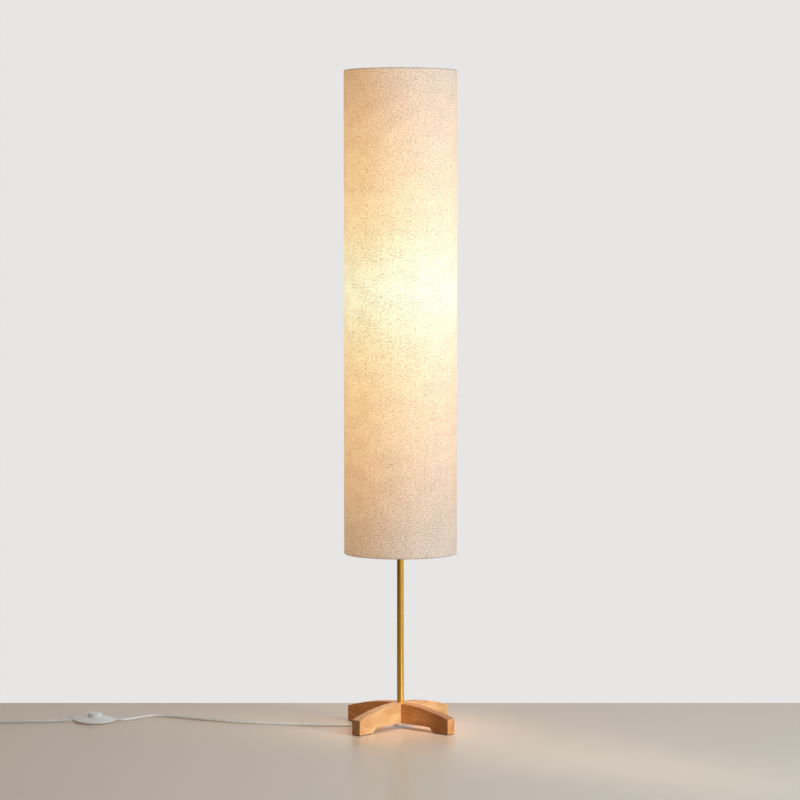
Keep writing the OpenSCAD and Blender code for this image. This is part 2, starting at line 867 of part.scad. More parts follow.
module cord_bores() {
    for (side = [0, 180])
        rotate(side) translate([lug_root - 0.5, 0, switch_split_h]) rotate([0, 90, 0])
            cylinder(r = lay + seat_gap, h = switch_len, $fn = 64);
}

module cover_screw_places() {
    for (i = [0 : 2])
        rotate(cover_screw_turn + 120 * i) translate([cover_screw_at, 0, 0]) children();
}

module terminal_places() {
    for (side = [0, 180])
        rotate(side) translate([terminal_x, 0, 0]) children();
}

module switch_base() {
    wall = 2;
    bevel = 1.5;
    color("gainsboro") at_switch() difference() {
        union() {
            difference() {
                union() {
                    translate([0, 0, plate_z]) cylinder(
                        r1 = switch_r - bevel, r2 = switch_r, h = switch_floor_t, $fn = 128);
                    translate([0, 0, plate_top]) cylinder(
                        r = switch_r, h = switch_split_h - plate_top, $fn = 128);
                }
                translate([0, 0, plate_top]) cylinder(r = switch_r - wall, h = switch_split_h, $fn = 128);
            }
            lugs(plate_z, switch_split_h - plate_z);
            cylinder_from(plate_z, hub_pin_top - 1, pivot_r);
        }
        cord_bores();
        cover_screw_places() {
            cylinder_from(plate_z - 1, switch_split_h, screw_r + 2 * seat_gap);
            cylinder_from(plate_z - 1, plate_z + head_t + seat_gap, head_r + 2 * seat_gap);
        }
        terminal_places() cylinder_from(plate_z + seat_gap, switch_split_h, terminal_r + seat_gap);
    }
}

module switch_pads() {
    pad_r = 4;
    color("dimgray") at_switch() for (i = [0 : 2])
        rotate(pad_turn + 120 * i) translate([pad_ring_r, 0, 0]) cylinder_from(0, switch_pad_t, pad_r);
}

// the cover's sphere goes through its rim and its shoulder
function dome_mid(r1, z1, r2, z2) = (r1 * r1 - r2 * r2 + z1 * z1 - z2 * z2) / (2 * (z1 - z2));
dome_z = dome_mid(switch_r, switch_split_h, shoulder_ring_r, switch_shoulder_h);
dome_r = norm([switch_r, switch_split_h - dome_z]);

module dome(inset) {
    rotate_extrude($fn = 128) intersection() {
        translate([0, dome_z]) circle(r = dome_r - inset, $fn = 450);
        translate([0, switch_split_h]) square([switch_r - inset, switch_shoulder_h]);
    }
}

module switch_cover() {
    post_r = 3.2;
    pilot_top = switch_split_h + 1.2;
    color("gainsboro") at_switch() difference() {
        union() {
            difference() {
                dome(0);
                dome(switch_wall);
            }
            lugs(switch_split_h, switch_split_h);
            cylinder_from(collar_z, collar_top, shoulder_ring_r);
            intersection() {
                cover_screw_places() cylinder_from(plate_top + seat_gap, switch_shoulder_h, post_r);
                union() {
                    dome(switch_wall / 2);
                    cylinder(r = cover_screw_at + post_r, h = switch_split_h);
                }
            }
        }
        cylinder_from(collar_z - 1, switch_shoulder_h + switch_split_h, collar_r);
        cord_bores();
        cover_screw_places() cylinder(r = screw_r + thread_gap, h = pilot_top, $fn = 32);
    }
}

module switch_screws() {
    color("silver") at_switch() cover_screw_places() {
        cylinder_from(plate_z + seat_gap, plate_z + head_t, head_r);
        cylinder_from(plate_z + seat_gap, switch_split_h + 1, screw_r);
    }
}

module switch_button() {
    edge = 1.2;
    crown = 0.5;
    crown_r = (pow(button_r - edge, 2) + crown * crown) / (2 * crown);
    color("gainsboro") at_switch() difference() {
        rotate_extrude() {
            translate([0, flange_z]) square([button_r, button_top_h - crown - edge - flange_z]);
            translate([0, flange_z]) square([button_r + flange_w, flange_t]);
            translate([0, flange_z]) square([button_r - edge, button_top_h - crown - flange_z]);
            intersection() {
                translate([button_r - edge, button_top_h - crown - edge]) circle(r = edge, $fn = 48);
                square([button_r + 1, button_top_h]);
            }
            intersection() {
                translate([0, button_top_h - crown_r]) circle(r = crown_r, $fn = 720);
                translate([0, button_top_h - crown - 0.01]) square([button_r - edge, crown + 1]);
            }
        }
        translate([0, 0, flange_z - 1])
            cylinder(r = button_r - button_wall, h = button_top_h - button_roof - flange_z + 1);
    }
}

module switch_plunger() {
    top = button_top_h - button_roof;
    color("whitesmoke") at_switch() difference() {
        translate([0, 0, plunger_z]) cylinder(r = plunger_r, h = top - plunger_z);
        translate([0, 0, plunger_z - 1])
            cylinder(r = plunger_r - plunger_wall, h = top - plunger_roof - plunger_z + 1);
    }
}

module switch_spring() {
    color("silver") at_switch()
        swept_tube(spring_line, spring_wire, form_sides, [0, 1, 0], [0, 1, 0], [0, 0, 1]);
}

// the bar across the rotor that closes the switch, or its slot
module bridge_shape(radius, gap) {
    translate([0, 0, bridge_z - gap]) intersection() {
        translate([-radius, -contact_w / 2 - gap, 0])
            cube([2 * radius, contact_w + 2 * gap, bridge_t + 2 * gap]);
        cylinder(r = radius, h = bridge_t + 2 * gap);
    }
}

module switch_rotor() {
    color("tan") at_switch() difference() {
        union() {
            cylinder_from(rotor_z, rotor_top, rotor_r);
            cylinder_from(rotor_z, hub_pin_top, hub_pin_r);
        }
        bridge_shape(rotor_r + 1, pivot_gap);
        cylinder_from(rotor_z - 1, hub_pin_top + 1, pivot_r + pivot_gap);
    }
}

module rotor_bridge() {
    color("peru") at_switch() difference() {
        bridge_shape(rotor_r, 0);
        cylinder_from(bridge_z - 1, bridge_z + bridge_t + 1, pivot_r + seat_gap);
    }
}

module switch_contacts() {
    blade_h = 3.2;
    color("gold") at_switch() difference() {
        for (side = [0, 180])
            rotate(side) translate([contact_x, -contact_w / 2, plate_top]) {
                cube([contact_t, contact_w, blade_h]);
                cube([contact_reach - contact_x, contact_w, contact_t]);
            }
        terminal_places() cylinder_from(plate_top - 1, plate_top + blade_h, terminal_r + seat_gap);
    }
}

module terminal_screws() {
    screw_head_t = 1.5;
    head_z = plate_top + contact_t;
    color("silver") at_switch() terminal_places() {
        cylinder_from(plate_z + 2 * seat_gap, head_z + screw_head_t, terminal_r);
        cylinder_from(head_z, head_z + screw_head_t, terminal_head_r);
    }
}

module switch_wiring() {
    low = plate_top + core_d / 2 + seat_gap;
    high = switch_split_h;
    mouth = lug_root + 0.5;
    beside = 1.3;
    half = [
        [jacket_end, beside, high], [mouth, beside, high], [21, 5, high], [15, 14, low]
    ];
    neutral = concat(
        [for (i = [0 : 3]) [-half[i][0], half[i][1], half[i][2]]],
        [[0, 20, low]],
        [for (i = [3 : -1 : 0]) half[i]]
    );
    color("silver") at_switch() {
        swept_tube(smooth(neutral, 4), core_d, form_sides, [1, 0, 0], [1, 0, 0]);
        for (side = [0, 180])
            let (y = side == 0 ? -beside : beside)
            rotate(side) swept_tube(
                [[jacket_end, y, high], [mouth, y, high], [terminal_x + terminal_head_r + 0.5, y / 2, high]],
                core_d, form_sides, [-1, 0, 0], [-1, 0, 0]);
    }
}

// ---- plug, along its own X from the end of its strain relief ----

module at_plug() {
    translate(plug_tail) rotate(plug_heading) children();
}

module pin_places() {
    for (side = [-1, 1])
        translate([boot_len + plug_len, side * pin_gap / 2, 0]) rotate([0, 90, 0]) children();
}

module plug_body() {
    neck_w = 14;
    taper = 12;
    edge = 2;
    boot_root_r = 5.5;
    rib_r = 4.6;
    rib_t = 1.6;
    rib_pitch = 3.6;
    half = [[boot_len, neck_w / 2], [boot_len + taper, plug_w / 2], [boot_len + plug_len, plug_w / 2]];
    color("gainsboro") at_plug() difference() {
        union() {
            rotate([0, 90, 0]) cylinder(r1 = boot_tip_r, r2 = boot_root_r, h = boot_len + edge, $fn = 48);
            for (i = [0 : 4])
                translate([rib_pitch * (i + 0.8), 0, 0]) rotate([0, 90, 0])
                    cylinder(r = rib_r + 0.28 * i, h = rib_t, $fn = 48);
            intersection() {
                translate([0, 0, -plug_t / 2]) linear_extrude(plug_t)
                    polygon(concat(half, [for (i = [2 : -1 : 0]) [half[i][0], -half[i][1]]]));
                rotate([90, 0, 90]) linear_extrude(boot_len + plug_len) round_rect(plug_w, plug_t, edge);
            }
        }
        pin_places() translate([0, 0, -pin_root - seat_gap])
            cylinder(r = pin_core_r + thread_gap, h = pin_root + 1, $fn = 32);
    }
}

module plug_sleeves() {
    color("white") at_plug() pin_places()
        pipe(pin_d / 2 - sleeve_step, pin_core_r + thread_gap, 0, sleeve_len);
}

module plug_pins() {
    tip = 1.5;
    color("silver") at_plug() pin_places() {
        translate([0, 0, -pin_root]) cylinder(r = pin_core_r, h = pin_root + sleeve_len + tip, $fn = 32);
        translate([0, 0, sleeve_len]) cylinder(d = pin_d, h = pin_len - sleeve_len - tip, $fn = 48);
        translate([0, 0, pin_len - tip]) cylinder(r1 = pin_d / 2, r2 = pin_d / 2 - 1, h = tip, $fn = 48);
    }
}

base_bar_lower();
base_bar_upper();
foot_pads();
hub_nipple();
hub_washer();
hub_lock_washer();
hub_nut();
cord_bushing();
stem_tube();
stem_lead();
holder_nipple();
holder_cap();
holder_set_screw();
holder_body();
holder_insert();
holder_shell();
holder_contact();
holder_leads();
bulb_contact();
bulb_insulator();
bulb_cap();
bulb_housing();
bulb_globe();
shade_fabric();
shade_liner();
shade_top_ring();
shade_bottom_ring();
shade_spider();
shade_ring_nut();
cord_to_switch();
cord_to_coil();
cord_coil();
cord_ties();
cord_to_plug();
switch_base();
switch_pads();
switch_cover();
switch_screws();
switch_button();
switch_plunger();
switch_spring();
switch_rotor();
rotor_bridge();
switch_contacts();
terminal_screws();
switch_wiring();
plug_body();
plug_sleeves();
plug_pins();
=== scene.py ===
import json
import math

import bpy
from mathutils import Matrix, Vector


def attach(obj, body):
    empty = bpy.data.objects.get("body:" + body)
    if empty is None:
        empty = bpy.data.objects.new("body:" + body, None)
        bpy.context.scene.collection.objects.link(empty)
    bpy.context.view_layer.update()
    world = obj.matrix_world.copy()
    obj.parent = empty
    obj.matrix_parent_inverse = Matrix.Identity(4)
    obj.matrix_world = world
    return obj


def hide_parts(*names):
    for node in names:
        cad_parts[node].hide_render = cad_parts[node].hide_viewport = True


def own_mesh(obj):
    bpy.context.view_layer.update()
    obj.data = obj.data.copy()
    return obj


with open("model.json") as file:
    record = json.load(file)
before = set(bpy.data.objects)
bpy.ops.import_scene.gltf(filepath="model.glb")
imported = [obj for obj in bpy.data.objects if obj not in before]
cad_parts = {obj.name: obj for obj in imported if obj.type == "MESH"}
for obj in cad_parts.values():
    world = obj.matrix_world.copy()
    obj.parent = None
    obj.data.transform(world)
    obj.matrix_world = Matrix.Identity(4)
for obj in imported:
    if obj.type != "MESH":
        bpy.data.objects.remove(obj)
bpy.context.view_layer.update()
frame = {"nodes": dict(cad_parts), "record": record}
nodes = frame["nodes"]
mm = 0.001
print("frame loaded:", len(nodes), "nodes")


# camera, as it stood for the photograph: angles in degrees, lengths in metres, the sensor in millimetres
camera = {
    "turn": -3.7,
    "pitch": 3.374,
    "away": 5.783,
    "aside": -0.001,
    "height": 1.012,
    "focalPixels": 2848,
    "imagePixels": 800,
    "sensor": 36,
    "farClip": 100,
}


def placeCamera(c):
    turn, pitch = math.radians(c["turn"]), math.radians(c["pitch"])
    right = Vector((math.cos(turn), math.sin(turn), 0))
    ahead = Vector((-math.sin(turn), math.cos(turn), 0))
    look = ahead * math.cos(pitch) - Vector((0, 0, math.sin(pitch)))
    data = bpy.data.cameras.new("photoCamera")
    data.sensor_width = c["sensor"]
    data.lens = c["focalPixels"] / c["imagePixels"] * c["sensor"]
    data.clip_end = c["farClip"]
    made = bpy.data.objects.new("photoCamera", data)
    made.location = right * c["aside"] - ahead * c["away"] + Vector((0, 0, c["height"]))
    made.rotation_mode = "QUATERNION"
    made.rotation_quaternion = look.to_track_quat("-Z", "Y")
    bpy.context.scene.collection.objects.link(made)
    bpy.context.scene.camera = made


placeCamera(camera)
bpy.context.scene.view_settings.view_transform = "Standard"
print("camera placed")


def meshObject(name, points, faces, smooth=True):
    mesh = bpy.data.meshes.new(name)
    mesh.from_pydata([tuple(p) for p in points], [], faces)
    mesh.update()
    if smooth:
        mesh.shade_smooth()
    made = bpy.data.objects.new(name, mesh)
    bpy.context.scene.collection.objects.link(made)
    return made


def smoothLine(route, step):
    # a Catmull-Rom line through the route, with a point about every step
    last = len(route) - 1
    line = []
    for i in range(last):
        b, c = route[i], route[i + 1]
        a = route[i - 1] if i else 2 * b - c
        d = route[i + 2] if i < last - 1 else 2 * c - b
        count = max(1, round((c - b).length / step))
        for k in range(count):
            t = k / count
            line.append(0.5 * (
                2 * b + (c - a) * t + (2 * a - 5 * b + 4 * c - d) * t * t
                + (3 * b - a - 3 * c + d) * t ** 3
            ))
    return line + [route[last]]


def directions(line):
    # which way the line heads at each of its points
    last = len(line) - 1
    return [(line[min(i + 1, last)] - line[max(i - 1, 0)]).normalized() for i in range(last + 1)]


def flanks(heads, start):
    # side vectors carried along the line without twist
    side = start
    sides = []
    for head in heads:
        side = (side - head * side.dot(head)).normalized()
        sides.append(side)
    return sides


def lengthOf(line):
    return sum((line[i] - line[i - 1]).length for i in range(1, len(line)))


def tube(name, line, radius, sides, start):
    heads = directions(line)
    points = []
    for place, head, side in zip(line, heads, flanks(heads, start)):
        up = head.cross(side)
        for k in range(sides):
            a = 2 * math.pi * k / sides
            points.append(place + radius * (math.cos(a) * side + math.sin(a) * up))
    rings = len(line)
    faces = [
        (i * sides + k, i * sides + (k + 1) % sides, (i + 1) * sides + (k + 1) % sides, (i + 1) * sides + k)
        for i in range(rings - 1)
        for k in range(sides)
    ]
    faces.append(tuple(reversed(range(sides))))
    faces.append(tuple(range((rings - 1) * sides, rings * sides)))
    return meshObject(name, points, faces)


def wound(line, reach, pitch, phase, start):
    # a line that winds round another one at that reach, once in each pitch
    heads = directions(line)
    sides = flanks(heads, start)
    run = 0
    turned = []
    for i, place in enumerate(line):
        run += (place - line[i - 1]).length if i else 0
        a = 2 * math.pi * run / pitch + phase
        turned.append(place + reach * (math.cos(a) * sides[i] + math.sin(a) * heads[i].cross(sides[i])))
    return turned


# clear two-core cord; the routes are the CAD's own, in millimetres, the third number above its rest
cord = {
    "diameter": 5,
    "sides": 16,
    "step": 2.5,
    "coreDiameter": 1.8,
    "coreSides": 10,
    "coreReach": 0.92,
    "corePitch": 24,
    "exitHeight": 22,
    "bendHeading": 172,
    "bendAngles": (0, 22.5, 45, 67.5, 90),
    "toSwitch": [
        (-38, 4, 0), (-60, 7, 0), (-94, 12, 0), (-140, 18, 0), (-184, 26, 0), (-225, 37, 0),
        (-266, 50, 0), (-307, 63, 0), (-348, 79, 0), (-388, 100, 0), (-411, 113, 0), (-432, 126, 0),
        (-453, 139, 0), (-473, 151, 0), (-492, 158, 0), (-510, 158, 0), (-524, 151, 0), (-536, 140, 0),
        (-547, 127, 0), (-558, 116, 0.2), (-570, 109.5, 1),
    ],
    "toCoil": [
        (-684, 113, 0.8), (-700, 109.5, 0), (-720, 105.5, 0), (-742, 103.5, 0), (-765, 103, 0),
        (-790, 103.2, 0), (-815, 103.6, 0), (-840, 103.9, 0.2), (-860, 104, 0.8),
    ],
}
# the foot switch's place on the floor, and where the cord enters it along its own axis
footSwitch = {"at": (-627, 111), "turn": -3.7, "cordHeight": 4, "lugTip": 44, "clear": 49, "jacketEnd": 28.5}
# the spare cord's round coil of two layers, and the plug that it ends in, in millimetres
coil = {
    "entry": (-880, 104), "innerRadius": 22, "turns": 6.25, "gap": 0.5, "lift": 1.0, "climb": 0.5,
    "startAngle": -90, "steps": 96, "nudge": 0.001,
}
plug = {"reach": 47, "thickness": 13.7, "settle": 0.8}


def inSwitch(along, aside, height):
    # from the foot switch's own frame to the lamp's
    turn = math.radians(footSwitch["turn"])
    x, y = footSwitch["at"]
    return Vector((
        x + along * math.cos(turn) - aside * math.sin(turn),
        y + along * math.sin(turn) + aside * math.cos(turn),
        height,
    ))


def onSwitch(along):
    return inSwitch(along, 0, footSwitch["cordHeight"])


def raisedRoute(route):
    return [Vector((x, y, z + cord["diameter"] / 2)) for x, y, z in route]


def laid(line):
    return [Vector((p.x, p.y, max(cord["diameter"] / 2, p.z))) for p in line]


def hubBend():
    radius = cord["exitHeight"] - cord["diameter"] / 2
    heading = math.radians(cord["bendHeading"])
    bend = []
    for angle in cord["bendAngles"]:
        a = math.radians(angle)
        out = radius * (1 - math.cos(a))
        bend.append(Vector((
            out * math.cos(heading), out * math.sin(heading), cord["exitHeight"] - radius * math.sin(a)
        )))
    return bend


coilPitch = cord["diameter"] + coil["gap"]
coilOuter = coil["innerRadius"] + coilPitch * coil["turns"] / 2
coilAt = Vector((coil["entry"][0], coil["entry"][1] + coilOuter, coil["lift"] + cord["diameter"] / 2))


def coilPoint(turn):
    # in on the floor, up in half a turn, and out again on top
    half = coil["turns"] / 2
    radius = coil["innerRadius"] + coilPitch * abs(half - turn)
    t = min(1, max(0, (turn - half) / coil["climb"] + 0.5))
    a = math.radians(coil["startAngle"] - 360 * turn)
    return coilAt + Vector((
        radius * math.cos(a), radius * math.sin(a), coilPitch * (1 - math.cos(math.pi * t)) / 2
    ))


def inMetres(line):
    return [p * mm for p in line]


def switchLine():
    ends = [onSwitch(footSwitch[k]) for k in ("clear", "lugTip", "jacketEnd")]
    return laid(smoothLine(hubBend() + raisedRoute(cord["toSwitch"]) + ends, cord["step"]))


def plugLine():
    turns, nudge, d = coil["turns"], coil["nudge"], cord["diameter"]
    inward = (coilPoint(nudge) - coilPoint(0)).normalized()
    outward = (coilPoint(turns) - coilPoint(turns - nudge)).normalized()
    leadIn = coilPoint(0) - d * inward
    leadOut = coilPoint(turns) + d * outward
    tail = Vector((coilAt.x - coilOuter, coilAt.y + plug["reach"], plug["thickness"] / 2))
    ahead = Vector((0, 1, 0))
    starts = [onSwitch(-footSwitch[k]) for k in ("jacketEnd", "lugTip", "clear")]
    first = laid(smoothLine(starts + raisedRoute(cord["toCoil"]) + [leadIn], cord["step"]))
    turnsCount = round(coil["steps"] * turns)
    middle = [coilPoint(turns * i / turnsCount) for i in range(turnsCount + 1)]
    settled = tail - 3 * d * ahead + Vector((0, 0, plug["settle"]))
    final = smoothLine([leadOut, leadOut + d * outward, settled, tail - d * ahead, tail], cord["step"])
    return first + middle + final


def makeCord(name, line, start):
    made = tube(name, line, cord["diameter"] / 2 * mm, cord["sides"], start)
    cores = []
    for side in (0, 1):
        path = wound(line, cord["coreReach"] * mm, cord["corePitch"] * mm, side * math.pi, start)
        radius = cord["coreDiameter"] / 2 * mm
        cores.append(tube(f"{name}_core_{side + 1}", path, radius, cord["coreSides"], start))
    return made, cores


toSwitch = inMetres(switchLine())
toPlug = inMetres(plugLine())
cordToSwitch, coresToSwitch = makeCord("cord_hub_to_switch", toSwitch, Vector((0, 1, 0)))
cordToPlug, coresToPlug = makeCord("cord_switch_to_plug", toPlug, Vector((0, 0, 1)))
for piece in [cordToSwitch, cordToPlug] + coresToSwitch + coresToPlug:
    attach(piece, "lamp")
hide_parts("cord_to_switch")
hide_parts("cord_to_coil", "cord_coil", "cord_to_plug")
print("cords laid:", round(lengthOf(toSwitch), 3), round(lengthOf(toPlug), 3))


# bare wires in millimetres; the switch's own are in its frame
wires = {
    "diameter": 1.8, "sides": 14, "step": 0.6,
    "holder": [(1.2, 782), (1.2, 784), (4.5, 786), (7, 790), (7, 792.5)],
    "neutral": [
        (-28.5, 1.3, 4), (-24.5, 1.3, 4), (-21, 5, 4), (-15, 14, 3.4), (0, 20, 3.4), (15, 14, 3.4),
        (21, 5, 4), (24.5, 1.3, 4), (28.5, 1.3, 4),
    ],
    "live": [(28.5, -1.3, 4), (24.5, -1.3, 4), (23.3, -0.65, 4)],
}
# the return spring; keep is the share of its height that is left when the button is down
spring = {
    "radius": 3, "wire": 0.6, "sides": 10, "turns": 6, "steps": 28, "foot": 7.4, "top": 15,
    "seat": 7.1, "keep": 0.683,
}


def bareWire(name, route):
    line = smoothLine(inMetres(route), wires["step"] * mm)
    made = tube(name, line, wires["diameter"] / 2 * mm, wires["sides"], Vector((0, 0, 1)))
    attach(made, "lamp")
    return made


def makeSpring(s):
    count = s["steps"] * s["turns"]
    line = []
    for i in range(count + 1):
        a = 2 * math.pi * i / s["steps"]
        rise = s["foot"] + (s["top"] - s["foot"]) * i / count
        line.append(inSwitch(s["radius"] * math.cos(a), s["radius"] * math.sin(a), rise) * mm)
    made = tube("return_spring", line, s["wire"] / 2 * mm, s["sides"], Vector((0, 0, 1)))
    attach(made, "lamp")
    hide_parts("switch_spring")
    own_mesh(made)
    return made


holderWires = [
    bareWire(f"holder_wire_{side + 1}", [Vector(((1 - 2 * side) * x, 0, z)) for x, z in wires["holder"]])
    for side in (0, 1)
]
# the live core stops at a contact on either side, the same way turned round
liveTurned = [(-x, -y, z) for x, y, z in wires["live"]]
switchWires = [
    bareWire(f"switch_wire_{i + 1}", [inSwitch(*p) for p in route])
    for i, route in enumerate((wires["neutral"], wires["live"], liveTurned))
]
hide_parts("holder_leads")
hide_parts("switch_wiring")
returnSpring = makeSpring(spring)
print("wires and spring made")


# one sheet of linen, lapped at the back and turned in round both wire rings; only flat is in metres
linen = {
    "outerRadius": 115, "thickness": 0.8, "bottom": 358, "top": 1338, "foldRadius": 2.4,
    "ringRadius": 111.8, "cornerRadius": 1.0, "lap": 14, "lapRise": 5, "lapGap": 0.05,
    "columns": 216, "rows": 70, "foldSteps": 9, "cornerSteps": 3,
    "ripple": 0.16, "ripples": (3, 7), "ripplePhase": 2, "rippleLength": 400, "flat": (0.737, 1.006),
}


def foldSection(s):
    # the turned-in end at the bottom, from its inner edge to the foot of the wall: points and normals
    middle = s["foldRadius"] - s["thickness"] / 2
    section = []
    for i in range(s["foldSteps"] + 1):
        a = math.radians(90 + 180 * i / s["foldSteps"])
        out = (math.cos(a), math.sin(a))
        section.append((s["ringRadius"] + middle * out[0], s["foldRadius"] + middle * out[1], out))
    wall = s["outerRadius"] - s["thickness"] / 2
    corner = s["cornerRadius"]
    for i in range(s["cornerSteps"] + 1):
        a = math.radians(270 + 90 * i / s["cornerSteps"])
        out = (math.cos(a), math.sin(a))
        section.append((wall - corner + corner * out[0], s["thickness"] / 2 + corner + corner * out[1], out))
    return section


def linenSection(s):
    bottom = foldSection(s)
    high = s["top"] - s["bottom"]
    wall = s["outerRadius"] - s["thickness"] / 2
    foot = bottom[-1][1]
    rise = [(wall, foot + (high - 2 * foot) * i / s["rows"], (1, 0)) for i in range(1, s["rows"])]
    top = [(r, high - z, (nr, -nz)) for r, z, (nr, nz) in reversed(bottom)]
    return bottom + rise + top


def makeLinen(s):
    # faint ripples die away towards the lap and towards both ends
    section = linenSection(s)
    high = s["top"] - s["bottom"]
    girth = 2 * math.pi * s["outerRadius"]
    span = girth + s["lap"]
    points = []
    for side in (1, -1):
        for i in range(s["columns"] + 1):
            run = span * i / s["columns"]
            turn = math.pi / 2 + (run - s["lap"] / 2) / s["outerRadius"]
            lapped = min(1, max(0, (run - girth + s["lapRise"]) / s["lapRise"]))
            lift = lapped * (s["thickness"] + s["lapGap"])
            ease = math.sin(math.pi * i / s["columns"])
            for r, z, (nr, nz) in section:
                calm = math.sin(math.pi * z / high) ** 0.5 if 0 < z < high else 0
                wave = sum(
                    math.sin(k * turn + s["ripplePhase"] + z * k / s["rippleLength"]) for k in s["ripples"]
                )
                out = lift + side * s["thickness"] / 2 + s["ripple"] * wave * ease * calm
                radius = r + nr * out
                points.append(Vector((
                    radius * math.cos(turn), radius * math.sin(turn), s["bottom"] + z + nz * out
                )) * mm)
    n = len(section)
    layer = n * (s["columns"] + 1)
    faces = []
    for i in range(s["columns"]):
        for k in range(n - 1):
            a, b, c, d = i * n + k, (i + 1) * n + k, (i + 1) * n + k + 1, i * n + k + 1
            faces.append((a, b, c, d))
            faces.append((layer + a, layer + d, layer + c, layer + b))
        for k in (0, n - 1):
            rim = (i * n + k, (i + 1) * n + k, layer + (i + 1) * n + k, layer + i * n + k)
            faces.append(tuple(reversed(rim)) if k == 0 else rim)
    for i in (0, s["columns"]):
        for k in range(n - 1):
            rim = (i * n + k, i * n + k + 1, layer + i * n + k + 1, layer + i * n + k)
            faces.append(tuple(reversed(rim)) if i == 0 else rim)
    return meshObject("shade_linen", points, faces)


shadeLinen = makeLinen(linen)
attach(shadeLinen, "lamp")
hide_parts("shade_fabric")
print("linen stretched")


def put(tree, socket, value):
    # links what comes from another node, and sets anything else on the socket itself
    if isinstance(value, bpy.types.NodeSocket):
        tree.links.new(value, socket)
    else:
        socket.default_value = value


def make(tree, kind, inputs=None, **settings):
    # adds one shader node
    made = tree.nodes.new("ShaderNode" + kind)
    for key, value in settings.items():
        setattr(made, key, value)
    for key, value in (inputs or {}).items():
        put(tree, made.inputs[key], value)
    return made


def calc(tree, operation, *values):
    made = make(tree, "Math", operation=operation)
    for i, value in enumerate(values):
        put(tree, made.inputs[i], value)
    return made.outputs[0]


def blend(tree, factor, first, second, kind="MIX"):
    made = make(tree, "Mix", data_type="RGBA", blend_type=kind)
    for i, value in ((0, factor), (6, first), (7, second)):
        put(tree, made.inputs[i], value)
    return made.outputs[2]


def between(tree, value, low, high, toLow=0.0, toHigh=1.0):
    # a smooth step from one value to another
    made = make(tree, "MapRange", interpolation_type="SMOOTHSTEP")
    for i, part in enumerate((value, low, high, toLow, toHigh)):
        put(tree, made.inputs[i], part)
    return made.outputs[0]


def grainAt(tree, place, scales, detail=2.0, rough=0.5):
    spread = make(tree, "VectorMath", {0: place, 1: scales}, operation="MULTIPLY")
    found = make(tree, "TexNoise", {
        "Vector": spread.outputs[0], "Scale": 1.0, "Detail": detail, "Roughness": rough,
    })
    return found.outputs[0]


def placeIn(tree):
    return make(tree, "TexCoord").outputs["Object"]


def colourOf(r, g, b):
    return (r, g, b, 1.0)


socketKinds = {float: "NodeSocketFloat", tuple: "NodeSocketColor"}


def newGroup(name, inputs, outputs):
    tree = bpy.data.node_groups.new(name, "ShaderNodeTree")
    for key, value in inputs.items():
        made = tree.interface.new_socket(key, in_out="INPUT", socket_type=socketKinds[type(value)])
        made.default_value = value
    for key in outputs:
        kind = "NodeSocketColor" if key.endswith("Colour") else "NodeSocketFloat"
        tree.interface.new_socket(key, in_out="OUTPUT", socket_type=kind)
    return tree, tree.nodes.new("NodeGroupInput").outputs, tree.nodes.new("NodeGroupOutput").inputs


def useGroup(tree, group, values):
    made = tree.nodes.new("ShaderNodeGroup")
    made.node_tree = group
    for key, value in values.items():
        put(tree, made.inputs[key], value)
    return made.outputs


def newMaterial(name, **constants):
    material = bpy.data.materials.new(name)
    material.use_nodes = True
    tree = material.node_tree
    shader = tree.nodes["Principled BSDF"]
    for key, value in constants.items():
        shader.inputs[key.replace("_", " ")].default_value = value
    return material, tree, shader.inputs


def raiseFrom(tree, shader, height, depth):
    bump = make(tree, "Bump", {"Strength": 1.0, "Distance": depth * mm, "Height": height})
    put(tree, shader["Normal"], bump.outputs[0])


# effects that more than one material shares are node groups, each with its own values
mouldedLook = {"cloudDetail": 3.0, "skinDetail": 2.0, "handledFrom": (0.42, 0.62), "cloudRise": 0.3}


def makeMoulded(s):
    # plastic, rubber, paint and ceramic: faint cloudiness, a fine skin and handled patches
    tree, given, gives = newGroup(
        "mouldedSurface",
        {"Base": colourOf(0.8, 0.8, 0.8), "Cloud": colourOf(0.7, 0.7, 0.7), "Cloud Size": 60.0,
         "Skin Size": 1600.0, "Smooth": 0.3, "Rough": 0.45},
        ["Colour", "Roughness", "Height"],
    )
    place = placeIn(tree)
    cloud = make(tree, "TexNoise", {
        "Vector": place, "Scale": given["Cloud Size"], "Detail": s["cloudDetail"],
    }).outputs[0]
    skin = make(tree, "TexNoise", {
        "Vector": place, "Scale": given["Skin Size"], "Detail": s["skinDetail"],
    }).outputs[0]
    handled = between(tree, cloud, *s["handledFrom"])
    put(tree, gives["Colour"], blend(tree, handled, given["Base"], given["Cloud"]))
    span = calc(tree, "SUBTRACT", given["Rough"], given["Smooth"])
    put(tree, gives["Roughness"], calc(tree, "MULTIPLY_ADD", handled, span, given["Smooth"]))
    put(tree, gives["Height"], calc(tree, "MULTIPLY_ADD", cloud, s["cloudRise"], skin))
    return tree


brushedLook = {
    "lineDetail": 3.0, "slowSize": 22.0, "slowDetail": 3.0, "slowRough": 0.6, "dullFrom": (0.45, 0.68),
    "dullTone": 0.7, "lineShare": 0.5, "dullShare": 0.5,
}


